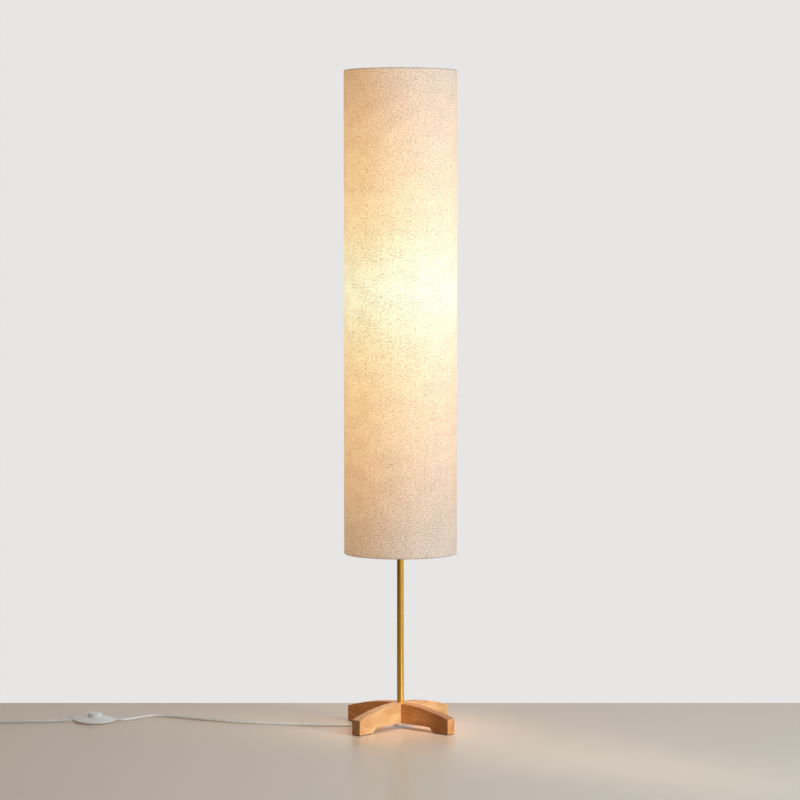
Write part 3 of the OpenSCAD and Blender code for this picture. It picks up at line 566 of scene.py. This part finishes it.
def makeBrushed(s):
    # metal: fine lines along one direction, a slow change of tone and dulled patches
    tree, given, gives = newGroup(
        "brushedMetal",
        {"Base": colourOf(0.8, 0.8, 0.8), "Deep": colourOf(0.6, 0.6, 0.6), "Across": 2400.0, "Along": 40.0,
         "Smooth": 0.2, "Rough": 0.35},
        ["Colour", "Roughness", "Height"],
    )
    place = placeIn(tree)
    parts = make(tree, "CombineXYZ", {0: given["Across"], 1: given["Across"], 2: given["Along"]})
    spread = make(tree, "VectorMath", {0: place, 1: parts.outputs[0]}, operation="MULTIPLY")
    lines = make(tree, "TexNoise", {
        "Vector": spread.outputs[0], "Scale": 1.0, "Detail": s["lineDetail"],
    }).outputs[0]
    slow = make(tree, "TexNoise", {
        "Vector": place, "Scale": s["slowSize"], "Detail": s["slowDetail"], "Roughness": s["slowRough"],
    }).outputs[0]
    dull = between(tree, slow, *s["dullFrom"])
    deep = calc(tree, "MULTIPLY", dull, s["dullTone"])
    put(tree, gives["Colour"], blend(tree, deep, given["Base"], given["Deep"]))
    span = calc(tree, "SUBTRACT", given["Rough"], given["Smooth"])
    mixed = calc(tree, "MULTIPLY_ADD", lines, s["lineShare"], calc(tree, "MULTIPLY", dull, s["dullShare"]))
    put(tree, gives["Roughness"], calc(tree, "MULTIPLY_ADD", mixed, span, given["Smooth"]))
    put(tree, gives["Height"], lines)
    return tree


woodGrain = {
    # how fine each pattern is along the bar, across it and up it, per millimetre
    "sway": (0.008, 0.03, 0.03), "wander": (0.012, 0.12, 0.12), "patches": (0.015, 0.05, 0.05),
    "streaks": (0.014, 0.5, 0.5), "fibres": (0.06, 2.6, 2.6), "pores": (0.11, 3.4, 3.4),
    # the values between which each one comes in, or goes out; the heartwood's are in millimetres
    "patchFrom": (0.3, 0.7), "streakFrom": (0.42, 0.66), "fibreFrom": (0.4, 0.75), "poreFrom": (0.58, 0.72),
    "lateFrom": (0.2, 0.84), "lateTo": (0.88, 1.0), "endFrom": (0.75, 0.97), "heartFrom": (70.0, 150.0),
    # how far each one shifts a place or a colour
    "wanderShift": 1.1, "heartShift": 60.0, "streakTone": 0.6, "fibreTone": 0.4, "poreTone": 0.5,
    "heartTone": 0.7,
    # what each one does to the roughness and to the height
    "rough": 0.4, "poreRough": 0.2, "lateRough": 0.08, "endRough": 0.18,
    "fibreRise": 0.5, "poreSink": 0.9, "lateRise": 0.25, "relief": 0.12,
}


def makeWood(s):
    # solid timber: rings round a pith that runs out of the bar, with pores and flecks along it
    tree, given, gives = newGroup(
        "solidTimber",
        {"Turn": 0.0, "Pith Aside": 30.0, "Pith Height": -40.0, "Run Out": 0.1, "Ring": 3.2, "Sway": 20.0,
         "Ring Depth": 0.6, "Heart": 0.0, "End": 0.4, "Pale": colourOf(0.8, 0.46, 0.21),
         "Warm": colourOf(0.58, 0.26, 0.085), "Late": colourOf(0.2, 0.05, 0.01)},
        ["Colour", "Roughness", "Height"],
    )
    # turned to lie along the bar, and from metres to millimetres
    turned = make(tree, "VectorRotate", {
        "Vector": placeIn(tree), "Angle": given["Turn"],
    }, rotation_type="Z_AXIS").outputs[0]
    place = make(tree, "VectorMath", {0: turned, 1: (1000, 1000, 1000)}, operation="MULTIPLY").outputs[0]
    parts = make(tree, "SeparateXYZ", {0: place}).outputs
    slow = grainAt(tree, place, s["sway"])
    sway = calc(tree, "MULTIPLY", calc(tree, "SUBTRACT", slow, 0.5), given["Sway"])
    pith = calc(tree, "MULTIPLY_ADD", parts[0], given["Run Out"], given["Pith Aside"])
    aside = calc(tree, "ADD", calc(tree, "SUBTRACT", parts[1], pith), sway)
    above = calc(tree, "SUBTRACT", parts[2], given["Pith Height"])
    squares = calc(tree, "ADD", calc(tree, "POWER", aside, 2.0), calc(tree, "POWER", above, 2.0))
    reach = calc(tree, "SQRT", squares)
    # each ring is pale early in the year and darkens to a sharp late edge
    wander = grainAt(tree, place, s["wander"], detail=3.0, rough=0.55)
    shifted = calc(tree, "MULTIPLY", wander, s["wanderShift"])
    ring = calc(tree, "FRACT", calc(tree, "ADD", calc(tree, "DIVIDE", reach, given["Ring"]), shifted))
    fading = between(tree, ring, *s["lateTo"], 1.0, 0.0)
    late = calc(tree, "MULTIPLY", between(tree, ring, *s["lateFrom"]), fading)
    streaks = grainAt(tree, place, s["streaks"], detail=3.0, rough=0.6)
    fibres = grainAt(tree, place, s["fibres"], detail=4.0, rough=0.6)
    pores = between(tree, grainAt(tree, place, s["pores"], rough=0.4), *s["poreFrom"])
    patches = grainAt(tree, place, s["patches"])
    ground = blend(tree, between(tree, patches, *s["patchFrom"]), given["Pale"], given["Warm"])
    fine = calc(tree, "MULTIPLY", between(tree, fibres, *s["fibreFrom"]), s["fibreTone"])
    broad = calc(tree, "MULTIPLY", between(tree, streaks, *s["streakFrom"]), s["streakTone"])
    streaked = blend(tree, calc(tree, "MAXIMUM", fine, broad), ground, given["Warm"])
    ringed = blend(tree, calc(tree, "MULTIPLY", late, given["Ring Depth"]), streaked, given["Late"])
    pored = blend(tree, calc(tree, "MULTIPLY", pores, s["poreTone"]), ringed, given["Late"])
    facing = make(tree, "VectorRotate", {
        "Vector": make(tree, "NewGeometry").outputs["Normal"], "Angle": given["Turn"],
    }, rotation_type="Z_AXIS").outputs[0]
    endways = calc(tree, "ABSOLUTE", make(tree, "SeparateXYZ", {0: facing}).outputs[0])
    endGrain = between(tree, endways, *s["endFrom"])
    # heartwood darkens one end of the bar, and end grain its cut ends
    along = calc(tree, "MULTIPLY_ADD", slow, s["heartShift"], parts[0])
    heart = calc(tree, "MULTIPLY", between(tree, along, *s["heartFrom"]), given["Heart"])
    darker = blend(tree, endGrain, calc(tree, "MULTIPLY", heart, s["heartTone"]), given["End"])
    put(tree, gives["Colour"], blend(tree, darker, pored, given["Late"]))
    duller = calc(tree, "MULTIPLY_ADD", pores, s["poreRough"], calc(tree, "MULTIPLY", late, s["lateRough"]))
    dullest = calc(tree, "MULTIPLY_ADD", endGrain, s["endRough"], duller)
    put(tree, gives["Roughness"], calc(tree, "ADD", dullest, s["rough"]))
    risen = calc(tree, "MULTIPLY", fibres, s["fibreRise"])
    sunk = calc(tree, "SUBTRACT", risen, calc(tree, "MULTIPLY", pores, s["poreSink"]))
    put(tree, gives["Height"], calc(tree, "MULTIPLY_ADD", late, s["lateRise"], sunk))
    return tree


clothGrain = {
    # how fine each pattern is round the sleeve and up it, per millimetre
    "sway": (0.12, 0.12, 0.0), "level": (0.055, 0.42, 0.0), "upright": (0.5, 0.07, 0.0),
    "speckle": (0.2, 0.48, 0.0), "uneven": (0.02, 0.035, 0.0),
    # the values between which each one comes in
    "levelFrom": (0.56, 0.72), "uprightFrom": (0.58, 0.75), "speckleFrom": (0.36, 0.66),
    "unevenFrom": (0.3, 0.7),
    # what each one does to the threads, the colour, the roughness and the height
    "swayShift": 1.6, "uprightShare": 0.45, "slubTone": 0.5, "rough": 0.82, "slubRough": 0.1,
    "threadRise": 0.45,
    # the light that comes through, as shares of the mean
    "speckleLight": (1.26, 0.78), "unevenLight": (0.94, 1.05), "slubLight": -0.25,
}


def makeWeave(s):
    # plain linen weave: threads round and up the sleeve, thick slubs in both, and lint
    tree, given, gives = newGroup(
        "linenWeave",
        {"Thread": 0.85, "Radius": 115.0, "Base": colourOf(0.45, 0.51, 0.54),
         "Slub": colourOf(0.34, 0.38, 0.39)},
        ["Colour", "Roughness", "Height", "Shading"],
    )
    parts = make(tree, "SeparateXYZ", {0: placeIn(tree)}).outputs
    back = calc(tree, "MULTIPLY", parts[1], -1.0)
    turn = calc(tree, "ARCTAN2", parts[0], back)
    across = calc(tree, "MULTIPLY", turn, given["Radius"])
    up = calc(tree, "MULTIPLY", parts[2], 1000.0)
    cloth = make(tree, "CombineXYZ", {0: across, 1: up, 2: 0.0}).outputs[0]
    sway = calc(tree, "MULTIPLY", grainAt(tree, cloth, s["sway"]), s["swayShift"])
    wave = calc(tree, "DIVIDE", 2 * math.pi, given["Thread"])
    warp = calc(tree, "SINE", calc(tree, "MULTIPLY", calc(tree, "ADD", across, sway), wave))
    weft = calc(tree, "SINE", calc(tree, "MULTIPLY", calc(tree, "ADD", up, sway), wave))
    threads = calc(tree, "MULTIPLY_ADD", calc(tree, "MULTIPLY", warp, weft), 0.5, 0.5)
    level = between(tree, grainAt(tree, cloth, s["level"]), *s["levelFrom"])
    upright = between(tree, grainAt(tree, cloth, s["upright"]), *s["uprightFrom"])
    slubs = calc(tree, "MAXIMUM", level, calc(tree, "MULTIPLY", upright, s["uprightShare"]))
    speckle = grainAt(tree, cloth, s["speckle"], rough=0.75)
    uneven = grainAt(tree, cloth, s["uneven"], detail=3.0)
    tone = calc(tree, "MULTIPLY_ADD", slubs, s["slubTone"], between(tree, speckle, *s["speckleFrom"]))
    put(tree, gives["Colour"], blend(tree, tone, given["Base"], given["Slub"]))
    put(tree, gives["Roughness"], calc(tree, "MULTIPLY_ADD", slubs, s["slubRough"], s["rough"]))
    put(tree, gives["Height"], calc(tree, "ADD", calc(tree, "MULTIPLY", threads, s["threadRise"]), slubs))
    # loose weave lets more light through, slubs and dense patches less
    loose = between(tree, speckle, *s["speckleFrom"], *s["speckleLight"])
    dense = calc(tree, "MULTIPLY_ADD", slubs, s["slubLight"], loose)
    patchy = between(tree, uneven, *s["unevenFrom"], *s["unevenLight"])
    put(tree, gives["Shading"], calc(tree, "MULTIPLY", dense, patchy))
    return tree


# the glow's colour at shares of its reach above and below the bulb
glowStops = [
    (0.0, (0.84, 0.82, 0.56)), (0.17, (0.82, 0.66, 0.36)), (0.33, (0.79, 0.54, 0.25)),
    (0.58, (0.67, 0.4, 0.18)), (0.75, (0.52, 0.31, 0.15)), (1.0, (0.35, 0.21, 0.12)),
]


def makeGlow(stops):
    # the lit bulb seen through the shade: bright and yellow at its height, dim and orange far from it
    tree, given, gives = newGroup("bulbGlow", {"Bulb Height": 0.9, "Reach": 0.55}, ["Colour"])
    height = make(tree, "SeparateXYZ", {0: placeIn(tree)}).outputs[2]
    off = calc(tree, "ABSOLUTE", calc(tree, "SUBTRACT", height, given["Bulb Height"]))
    ramp = make(tree, "ValToRGB", {"Fac": calc(tree, "DIVIDE", off, given["Reach"])})
    band = ramp.color_ramp
    band.interpolation = "CARDINAL"
    while len(band.elements) < len(stops):
        band.elements.new(0.5)
    for element, (place, tint) in zip(band.elements, stops):
        element.position = place
        element.color = colourOf(*tint)
    put(tree, gives["Colour"], ramp.outputs[0])
    return tree


moulded = makeMoulded(mouldedLook)
brushed = makeBrushed(brushedLook)
timber = makeWood(woodGrain)
weave = makeWeave(clothGrain)
glow = makeGlow(glowStops)
print("surface groups built")


def plastic(name, base, cloud, smooth, rough, skin=0.012, cloudSize=60.0, skinSize=1600.0, **constants):
    material, tree, shader = newMaterial(name, **constants)
    surface = useGroup(tree, moulded, {
        "Base": colourOf(*base), "Cloud": colourOf(*cloud), "Cloud Size": cloudSize, "Skin Size": skinSize,
        "Smooth": smooth, "Rough": rough,
    })
    put(tree, shader["Base Color"], surface["Colour"])
    put(tree, shader["Roughness"], surface["Roughness"])
    raiseFrom(tree, shader, surface["Height"], skin)
    return material


def metal(name, base, deep, smooth, rough, across, along, depth=0.01, **constants):
    material, tree, shader = newMaterial(name, Metallic=1.0, **constants)
    surface = useGroup(tree, brushed, {
        "Base": colourOf(*base), "Deep": colourOf(*deep), "Across": across, "Along": along,
        "Smooth": smooth, "Rough": rough,
    })
    put(tree, shader["Base Color"], surface["Colour"])
    put(tree, shader["Roughness"], surface["Roughness"])
    raiseFrom(tree, shader, surface["Height"], depth)
    return material


def wood(name, turn, values):
    material, tree, shader = newMaterial(name, Specular_IOR_Level=0.45)
    surface = useGroup(tree, timber, dict(values, Turn=math.radians(turn)))
    put(tree, shader["Base Color"], surface["Colour"])
    put(tree, shader["Roughness"], surface["Roughness"])
    raiseFrom(tree, shader, surface["Height"], woodGrain["relief"])
    return material


# the cloth is thicker in the hems, which are the last millimetres at either end; less light comes through
# there, and the hems' colour is darkened as painted shade of the rolled edges
linenLook = {
    "glow": 1.5, "share": 2 / 3, "bulbHeight": 0.895, "reach": 0.6, "hem": 2.6, "hemStart": 0.4,
    "hemLight": 0.45, "hemShade": (0.75, 0.55, 0.45), "threadTint": (1.0, 0.85, 0.68),
    "threadFrom": (0.75, 1.25), "relief": 0.25,
}


def linenMaterial(s):
    material, tree, shader = newMaterial(
        "natural linen", Sheen_Weight=0.2, Sheen_Roughness=0.6, Emission_Strength=s["glow"],
        Specular_IOR_Level=0.2,
    )
    cloth = useGroup(tree, weave, {})
    height = make(tree, "SeparateXYZ", {0: placeIn(tree)}).outputs[2]
    low, high, hem = linen["bottom"] * mm, linen["top"] * mm, s["hem"] * mm
    start = hem * s["hemStart"]
    clear = calc(
        tree, "MULTIPLY", between(tree, height, low + start, low + hem, s["hemLight"]),
        between(tree, height, high - hem, high - start, 1.0, s["hemLight"]),
    )
    # the shader's strength makes up for this share, which leaves room for threads above the mean
    light = calc(tree, "MULTIPLY", calc(tree, "MULTIPLY", clear, cloth["Shading"]), s["share"])
    lit = useGroup(tree, glow, {"Bulb Height": s["bulbHeight"], "Reach": s["reach"]})["Colour"]
    # painted shade: the colour is darkened in the hems, standing in for the shade of the rolled edges
    hemShaded = blend(tree, 1.0, cloth["Colour"], colourOf(*s["hemShade"]), "MULTIPLY")
    hemWithPaintedShade = blend(tree, clear, hemShaded, cloth["Colour"])
    put(tree, shader["Base Color"], hemWithPaintedShade)
    put(tree, shader["Roughness"], cloth["Roughness"])
    # light that comes through thick threads is more orange
    thin = between(tree, cloth["Shading"], *s["threadFrom"])
    filtered = blend(tree, thin, colourOf(*s["threadTint"]), colourOf(1, 1, 1))
    warmed = blend(tree, 1.0, lit, filtered, "MULTIPLY")
    put(tree, shader["Emission Color"], blend(tree, light, colourOf(0, 0, 0), warmed))
    raiseFrom(tree, shader, cloth["Height"], s["relief"])
    return material


linerLook = {
    "glow": 0.55, "bulbHeight": 0.88, "reach": 0.6, "base": (0.86, 0.83, 0.76), "cloud": (0.8, 0.76, 0.68),
    "cloudSize": 25.0, "skinSize": 900.0, "smooth": 0.55, "rough": 0.7, "relief": 0.05,
}


def linerMaterial(s):
    material, tree, shader = newMaterial(
        "shade laminate", Emission_Strength=s["glow"], Specular_IOR_Level=0.3
    )
    surface = useGroup(tree, moulded, {
        "Base": colourOf(*s["base"]), "Cloud": colourOf(*s["cloud"]), "Cloud Size": s["cloudSize"],
        "Skin Size": s["skinSize"], "Smooth": s["smooth"], "Rough": s["rough"],
    })
    lit = useGroup(tree, glow, {"Bulb Height": s["bulbHeight"], "Reach": s["reach"]})["Colour"]
    put(tree, shader["Base Color"], surface["Colour"])
    put(tree, shader["Roughness"], surface["Roughness"])
    put(tree, shader["Emission Color"], lit)
    raiseFrom(tree, shader, surface["Height"], s["relief"])
    return material


globeLook = {
    "glow": 1.5, "base": (1.0, 0.88, 0.66), "cloud": (1.0, 0.84, 0.6), "cloudSize": 30.0,
    "skinSize": 700.0, "smooth": 0.3, "rough": 0.4,
}


def globeMaterial(s):
    material, tree, shader = newMaterial("lit opal globe", Emission_Strength=s["glow"])
    surface = useGroup(tree, moulded, {
        "Base": colourOf(*s["base"]), "Cloud": colourOf(*s["cloud"]), "Cloud Size": s["cloudSize"],
        "Skin Size": s["skinSize"], "Smooth": s["smooth"], "Rough": s["rough"],
    })
    put(tree, shader["Base Color"], surface["Colour"])
    put(tree, shader["Emission Color"], surface["Colour"])
    put(tree, shader["Roughness"], surface["Roughness"])
    return material


# each bar is cut from its own place in a log, and the lower bar's deeper, more saturated colours are partly
# painted shade for its faces that are seen in shade; lengths in millimetres
barGrain = {
    "lower": {
        "Pith Aside": -70.0, "Pith Height": 8.0, "Run Out": 0.5, "Ring": 3.4, "Sway": 14.0,
        "Ring Depth": 0.4, "Heart": 0.75, "End": 0.2, "Pale": colourOf(0.9, 0.45, 0.16),
        "Warm": colourOf(0.6, 0.24, 0.06), "Late": colourOf(0.13, 0.026, 0.004),
    },
    "upper": {
        "Pith Aside": -30.0, "Pith Height": -110.0, "Run Out": 0.12, "Ring": 4.6, "Sway": 9.0,
        "Ring Depth": 0.24, "End": 0.5, "Pale": colourOf(0.78, 0.49, 0.25),
        "Warm": colourOf(0.62, 0.31, 0.11), "Late": colourOf(0.16, 0.036, 0.006),
    },
}
# plastics: base, cloud, smoothest and roughest; metals: base, deep, smoothest and roughest
materials = {
    # painted shade: this bar's more saturated colours stand in for the shade on its shaded faces
    "lower bar wood": wood("oiled timber, lower bar, shade painted in", 45, barGrain["lower"]),
    "upper bar wood": wood("oiled timber, upper bar", -45, barGrain["upper"]),
    "foot pad": plastic("foot rubber", (0.02, 0.018, 0.016), (0.035, 0.03, 0.027), 0.7, 0.9, skin=0.03),
    "stem brass": metal(
        "satin brass", (0.77, 0.44, 0.065), (0.75, 0.42, 0.06), 0.17, 0.21, across=3000.0, along=30.0,
        depth=0.0005, Coat_Weight=0.3, Coat_Roughness=0.2,
    ),
    "nipple brass": metal(
        "turned brass", (0.78, 0.55, 0.2), (0.62, 0.42, 0.15), 0.25, 0.4, across=60.0, along=3000.0
    ),
    "zinc steel": metal(
        "zinc plate", (0.68, 0.69, 0.71), (0.52, 0.53, 0.55), 0.28, 0.45, across=500.0, along=500.0
    ),
    "bushing plastic": plastic("bushing nylon", (0.82, 0.81, 0.77), (0.76, 0.74, 0.69), 0.4, 0.55),
    "holder plastic": plastic("lampholder plastic", (0.84, 0.82, 0.75), (0.79, 0.76, 0.68), 0.25, 0.4),
    "insert ceramic": plastic("insert ceramic", (0.88, 0.87, 0.83), (0.8, 0.78, 0.72), 0.6, 0.8, skin=0.04),
    "contact brass": metal(
        "stamped brass", (0.8, 0.58, 0.22), (0.6, 0.4, 0.14), 0.25, 0.42, across=300.0, along=900.0
    ),
    "bulb cap": metal(
        "rolled cap", (0.72, 0.72, 0.74), (0.6, 0.6, 0.62), 0.22, 0.38, across=80.0, along=2400.0
    ),
    "bulb insulator": plastic("black glass", (0.015, 0.015, 0.02), (0.03, 0.03, 0.035), 0.12, 0.25),
    "bulb housing": plastic("bulb housing", (0.86, 0.86, 0.84), (0.82, 0.81, 0.78), 0.35, 0.5),
    "bulb globe": globeMaterial(globeLook),
    "shade linen": linenMaterial(linenLook),
    "shade liner": linerMaterial(linerLook),
    "shade wire": plastic(
        "white powder coat", (0.84, 0.83, 0.79), (0.78, 0.76, 0.71), 0.4, 0.55, skin=0.05, cloudSize=80.0,
        skinSize=2600.0,
    ),
    "cord tie": plastic("ribbed strip", (0.84, 0.84, 0.82), (0.76, 0.76, 0.73), 0.35, 0.5),
    "clear cord": plastic(
        "clear soft plastic", (0.97, 0.96, 0.94), (0.94, 0.93, 0.9), 0.08, 0.2, skin=0.01, cloudSize=40.0,
        skinSize=500.0, Transmission_Weight=0.2, IOR=1.4,
    ),
    "switch plastic": plastic(
        "milky clear plastic", (0.97, 0.96, 0.94), (0.95, 0.94, 0.92), 0.12, 0.2, skin=0.01,
        Transmission_Weight=0.06, IOR=1.5,
    ),
    "switch rubber": plastic("clear rubber", (0.5, 0.49, 0.46), (0.42, 0.41, 0.38), 0.6, 0.8, skin=0.03),
    "switch nylon": plastic("plunger nylon", (0.84, 0.83, 0.79), (0.78, 0.76, 0.7), 0.4, 0.55),
    "spring steel": metal(
        "drawn wire", (0.6, 0.6, 0.62), (0.4, 0.4, 0.42), 0.22, 0.4, across=900.0, along=900.0
    ),
    "rotor plastic": plastic("rotor resin", (0.26, 0.12, 0.045), (0.2, 0.09, 0.03), 0.4, 0.6),
    "bridge copper": metal(
        "stamped copper", (0.8, 0.42, 0.25), (0.6, 0.28, 0.15), 0.25, 0.42, across=700.0, along=700.0
    ),
    "plug plastic": plastic(
        "milky plug plastic", (0.92, 0.91, 0.88), (0.88, 0.87, 0.83), 0.25, 0.4, skin=0.02,
        Transmission_Weight=0.45, IOR=1.46,
    ),
    "sleeve plastic": plastic("sleeve plastic", (0.75, 0.75, 0.72), (0.68, 0.68, 0.64), 0.4, 0.55),
    "tinned core": metal(
        "tinned strands", (0.97, 0.96, 0.94), (0.7, 0.69, 0.67), 0.25, 0.5, across=2200.0, along=2200.0,
        depth=0.03,
    ),
    "pin metal": metal(
        "nickel plate", (0.72, 0.7, 0.66), (0.58, 0.56, 0.52), 0.15, 0.3, across=1800.0, along=60.0
    ),
}


def dress(piece, material):
    piece.data.materials.clear()
    piece.data.materials.append(material)


for part in frame["record"]["subparts"]:
    made = nodes[part["node"]]
    for place in made.material_slots:
        place.material = materials[part["material_slot"]]
for piece in (cordToSwitch, cordToPlug):
    dress(piece, materials["clear cord"])
for piece in coresToSwitch + coresToPlug + holderWires + switchWires:
    dress(piece, materials["tinned core"])
dress(returnSpring, materials["spring steel"])
dress(shadeLinen, materials["shade linen"])
print("materials on:", len(materials))


# the floor ends behind the lamp in a straight edge, square to the view; lengths in metres
floor = {
    "behind": 0.3, "before": 3.2, "halfWidth": 2.6, "base": (0.83, 0.66, 0.525), "cloud": (0.8, 0.63, 0.5),
    "cloudSize": (4.0, 4.0, 4.0), "cloudDetail": 10.0, "cloudRough": 0.75, "smooth": 0.285, "roughSpan": 0.03,
}


def makeFloor(s):
    turn = math.radians(camera["turn"])
    right = Vector((math.cos(turn), math.sin(turn), 0))
    ahead = Vector((-math.sin(turn), math.cos(turn), 0))
    corners = [
        right * s["halfWidth"] * side + ahead * far
        for side, far in ((-1, -s["before"]), (1, -s["before"]), (1, s["behind"]), (-1, s["behind"]))
    ]
    made = meshObject("floor", corners, [(0, 1, 2, 3)], smooth=False)
    material, tree, shader = newMaterial("pale satin floor", Specular_IOR_Level=0.5)
    cloud = grainAt(tree, placeIn(tree), s["cloudSize"], s["cloudDetail"], s["cloudRough"])
    put(tree, shader["Base Color"], blend(tree, cloud, colourOf(*s["base"]), colourOf(*s["cloud"])))
    put(tree, shader["Roughness"], calc(tree, "MULTIPLY_ADD", cloud, s["roughSpan"], s["smooth"]))
    dress(made, material)


# the room is dim low down on the left, which mostly the metal shows
room = {
    "wall": (0.8, 0.79, 0.785), "dim": (0.07, 0.03, 0.004), "dimAcross": (-0.5, 0.15), "dimUp": (0.2, 0.45),
    "ambient": (1.0, 0.81, 0.64), "ambientStrength": 0.26,
}


def makeWorld(s):
    world = bpy.data.worlds.new("studio")
    world.use_nodes = True
    tree = world.node_tree
    tree.nodes.clear()
    path = make(tree, "LightPath").outputs
    seen = calc(tree, "MAXIMUM", path["Is Camera Ray"], path["Is Transmission Ray"])
    shown = calc(tree, "MAXIMUM", seen, path["Is Glossy Ray"])
    ways = make(tree, "SeparateXYZ", {0: make(tree, "TexCoord").outputs["Generated"]}).outputs
    left = between(tree, ways[0], *s["dimAcross"], 1.0, 0.0)
    low = between(tree, ways[2], *s["dimUp"], 1.0, 0.0)
    dim = calc(tree, "MULTIPLY", path["Is Glossy Ray"], calc(tree, "MULTIPLY", left, low))
    walls = blend(tree, dim, colourOf(*s["wall"]), colourOf(*s["dim"]))
    plain = make(tree, "Background", {"Color": walls, "Strength": 1.0}).outputs[0]
    ambient = make(tree, "Background", {
        "Color": colourOf(*s["ambient"]), "Strength": s["ambientStrength"],
    }).outputs[0]
    mixed = make(tree, "MixShader", {0: shown, 1: ambient, 2: plain})
    output = make(tree, "OutputWorld")
    put(tree, output.inputs["Surface"], mixed.outputs[0])
    bpy.context.scene.world = world


def around(azimuth, elevation, distance, height=0.0):
    # a place round the lamp, by the angle to the camera's right and the angle above the floor
    a, e = math.radians(camera["turn"] + azimuth), math.radians(elevation)
    flat = distance * math.cos(e)
    return Vector((flat * math.sin(a), -flat * math.cos(a), height + distance * math.sin(e)))


# two windows on the right, the bulb, and the pool of its light that falls out under the shade
lights = {
    "window": {
        "kind": "AREA", "at": around(52, 30, 3.2, 0.4), "aim": 0.7, "watts": 61, "tint": (0.61, 0.86, 1.0),
        "looks": {"size": 1.3},
    },
    "lowWindow": {
        "kind": "AREA", "at": around(46, 12, 1.9), "aim": 0.03, "watts": 0.42, "tint": (1.0, 0.97, 0.93),
        "looks": {"size": 0.3, "spread": math.radians(20)},
    },
    "bulb": {
        "kind": "POINT", "at": Vector((0, 0, 0.88)), "aim": 0, "watts": 0.35, "tint": (1.0, 0.78, 0.48),
        "looks": {"shadow_soft_size": 0.031},
    },
    "belowShade": {
        "kind": "AREA", "at": Vector((0, 0, 0.357)), "aim": 0, "watts": 0.1, "tint": (1.0, 0.6, 0.3),
        "looks": {"size": 0.2, "shape": "DISK", "spread": math.radians(70)},
    },
}


def addLight(name, s):
    # aimed at a height on the lamp's own axis
    data = bpy.data.lights.new(name, s["kind"])
    data.energy = s["watts"]
    data.color = s["tint"]
    for key, value in s["looks"].items():
        setattr(data, key, value)
    made = bpy.data.objects.new(name, data)
    made.location = s["at"]
    made.rotation_mode = "QUATERNION"
    made.rotation_quaternion = (Vector((0, 0, s["aim"])) - s["at"]).to_track_quat("-Z", "Y")
    made.visible_camera = False
    bpy.context.scene.collection.objects.link(made)


makeFloor(floor)
makeWorld(room)
for name, values in lights.items():
    addLight(name, values)
nodes["bulb_globe"].visible_shadow = False  # the bulb's light has to get out of it
print("lights set")
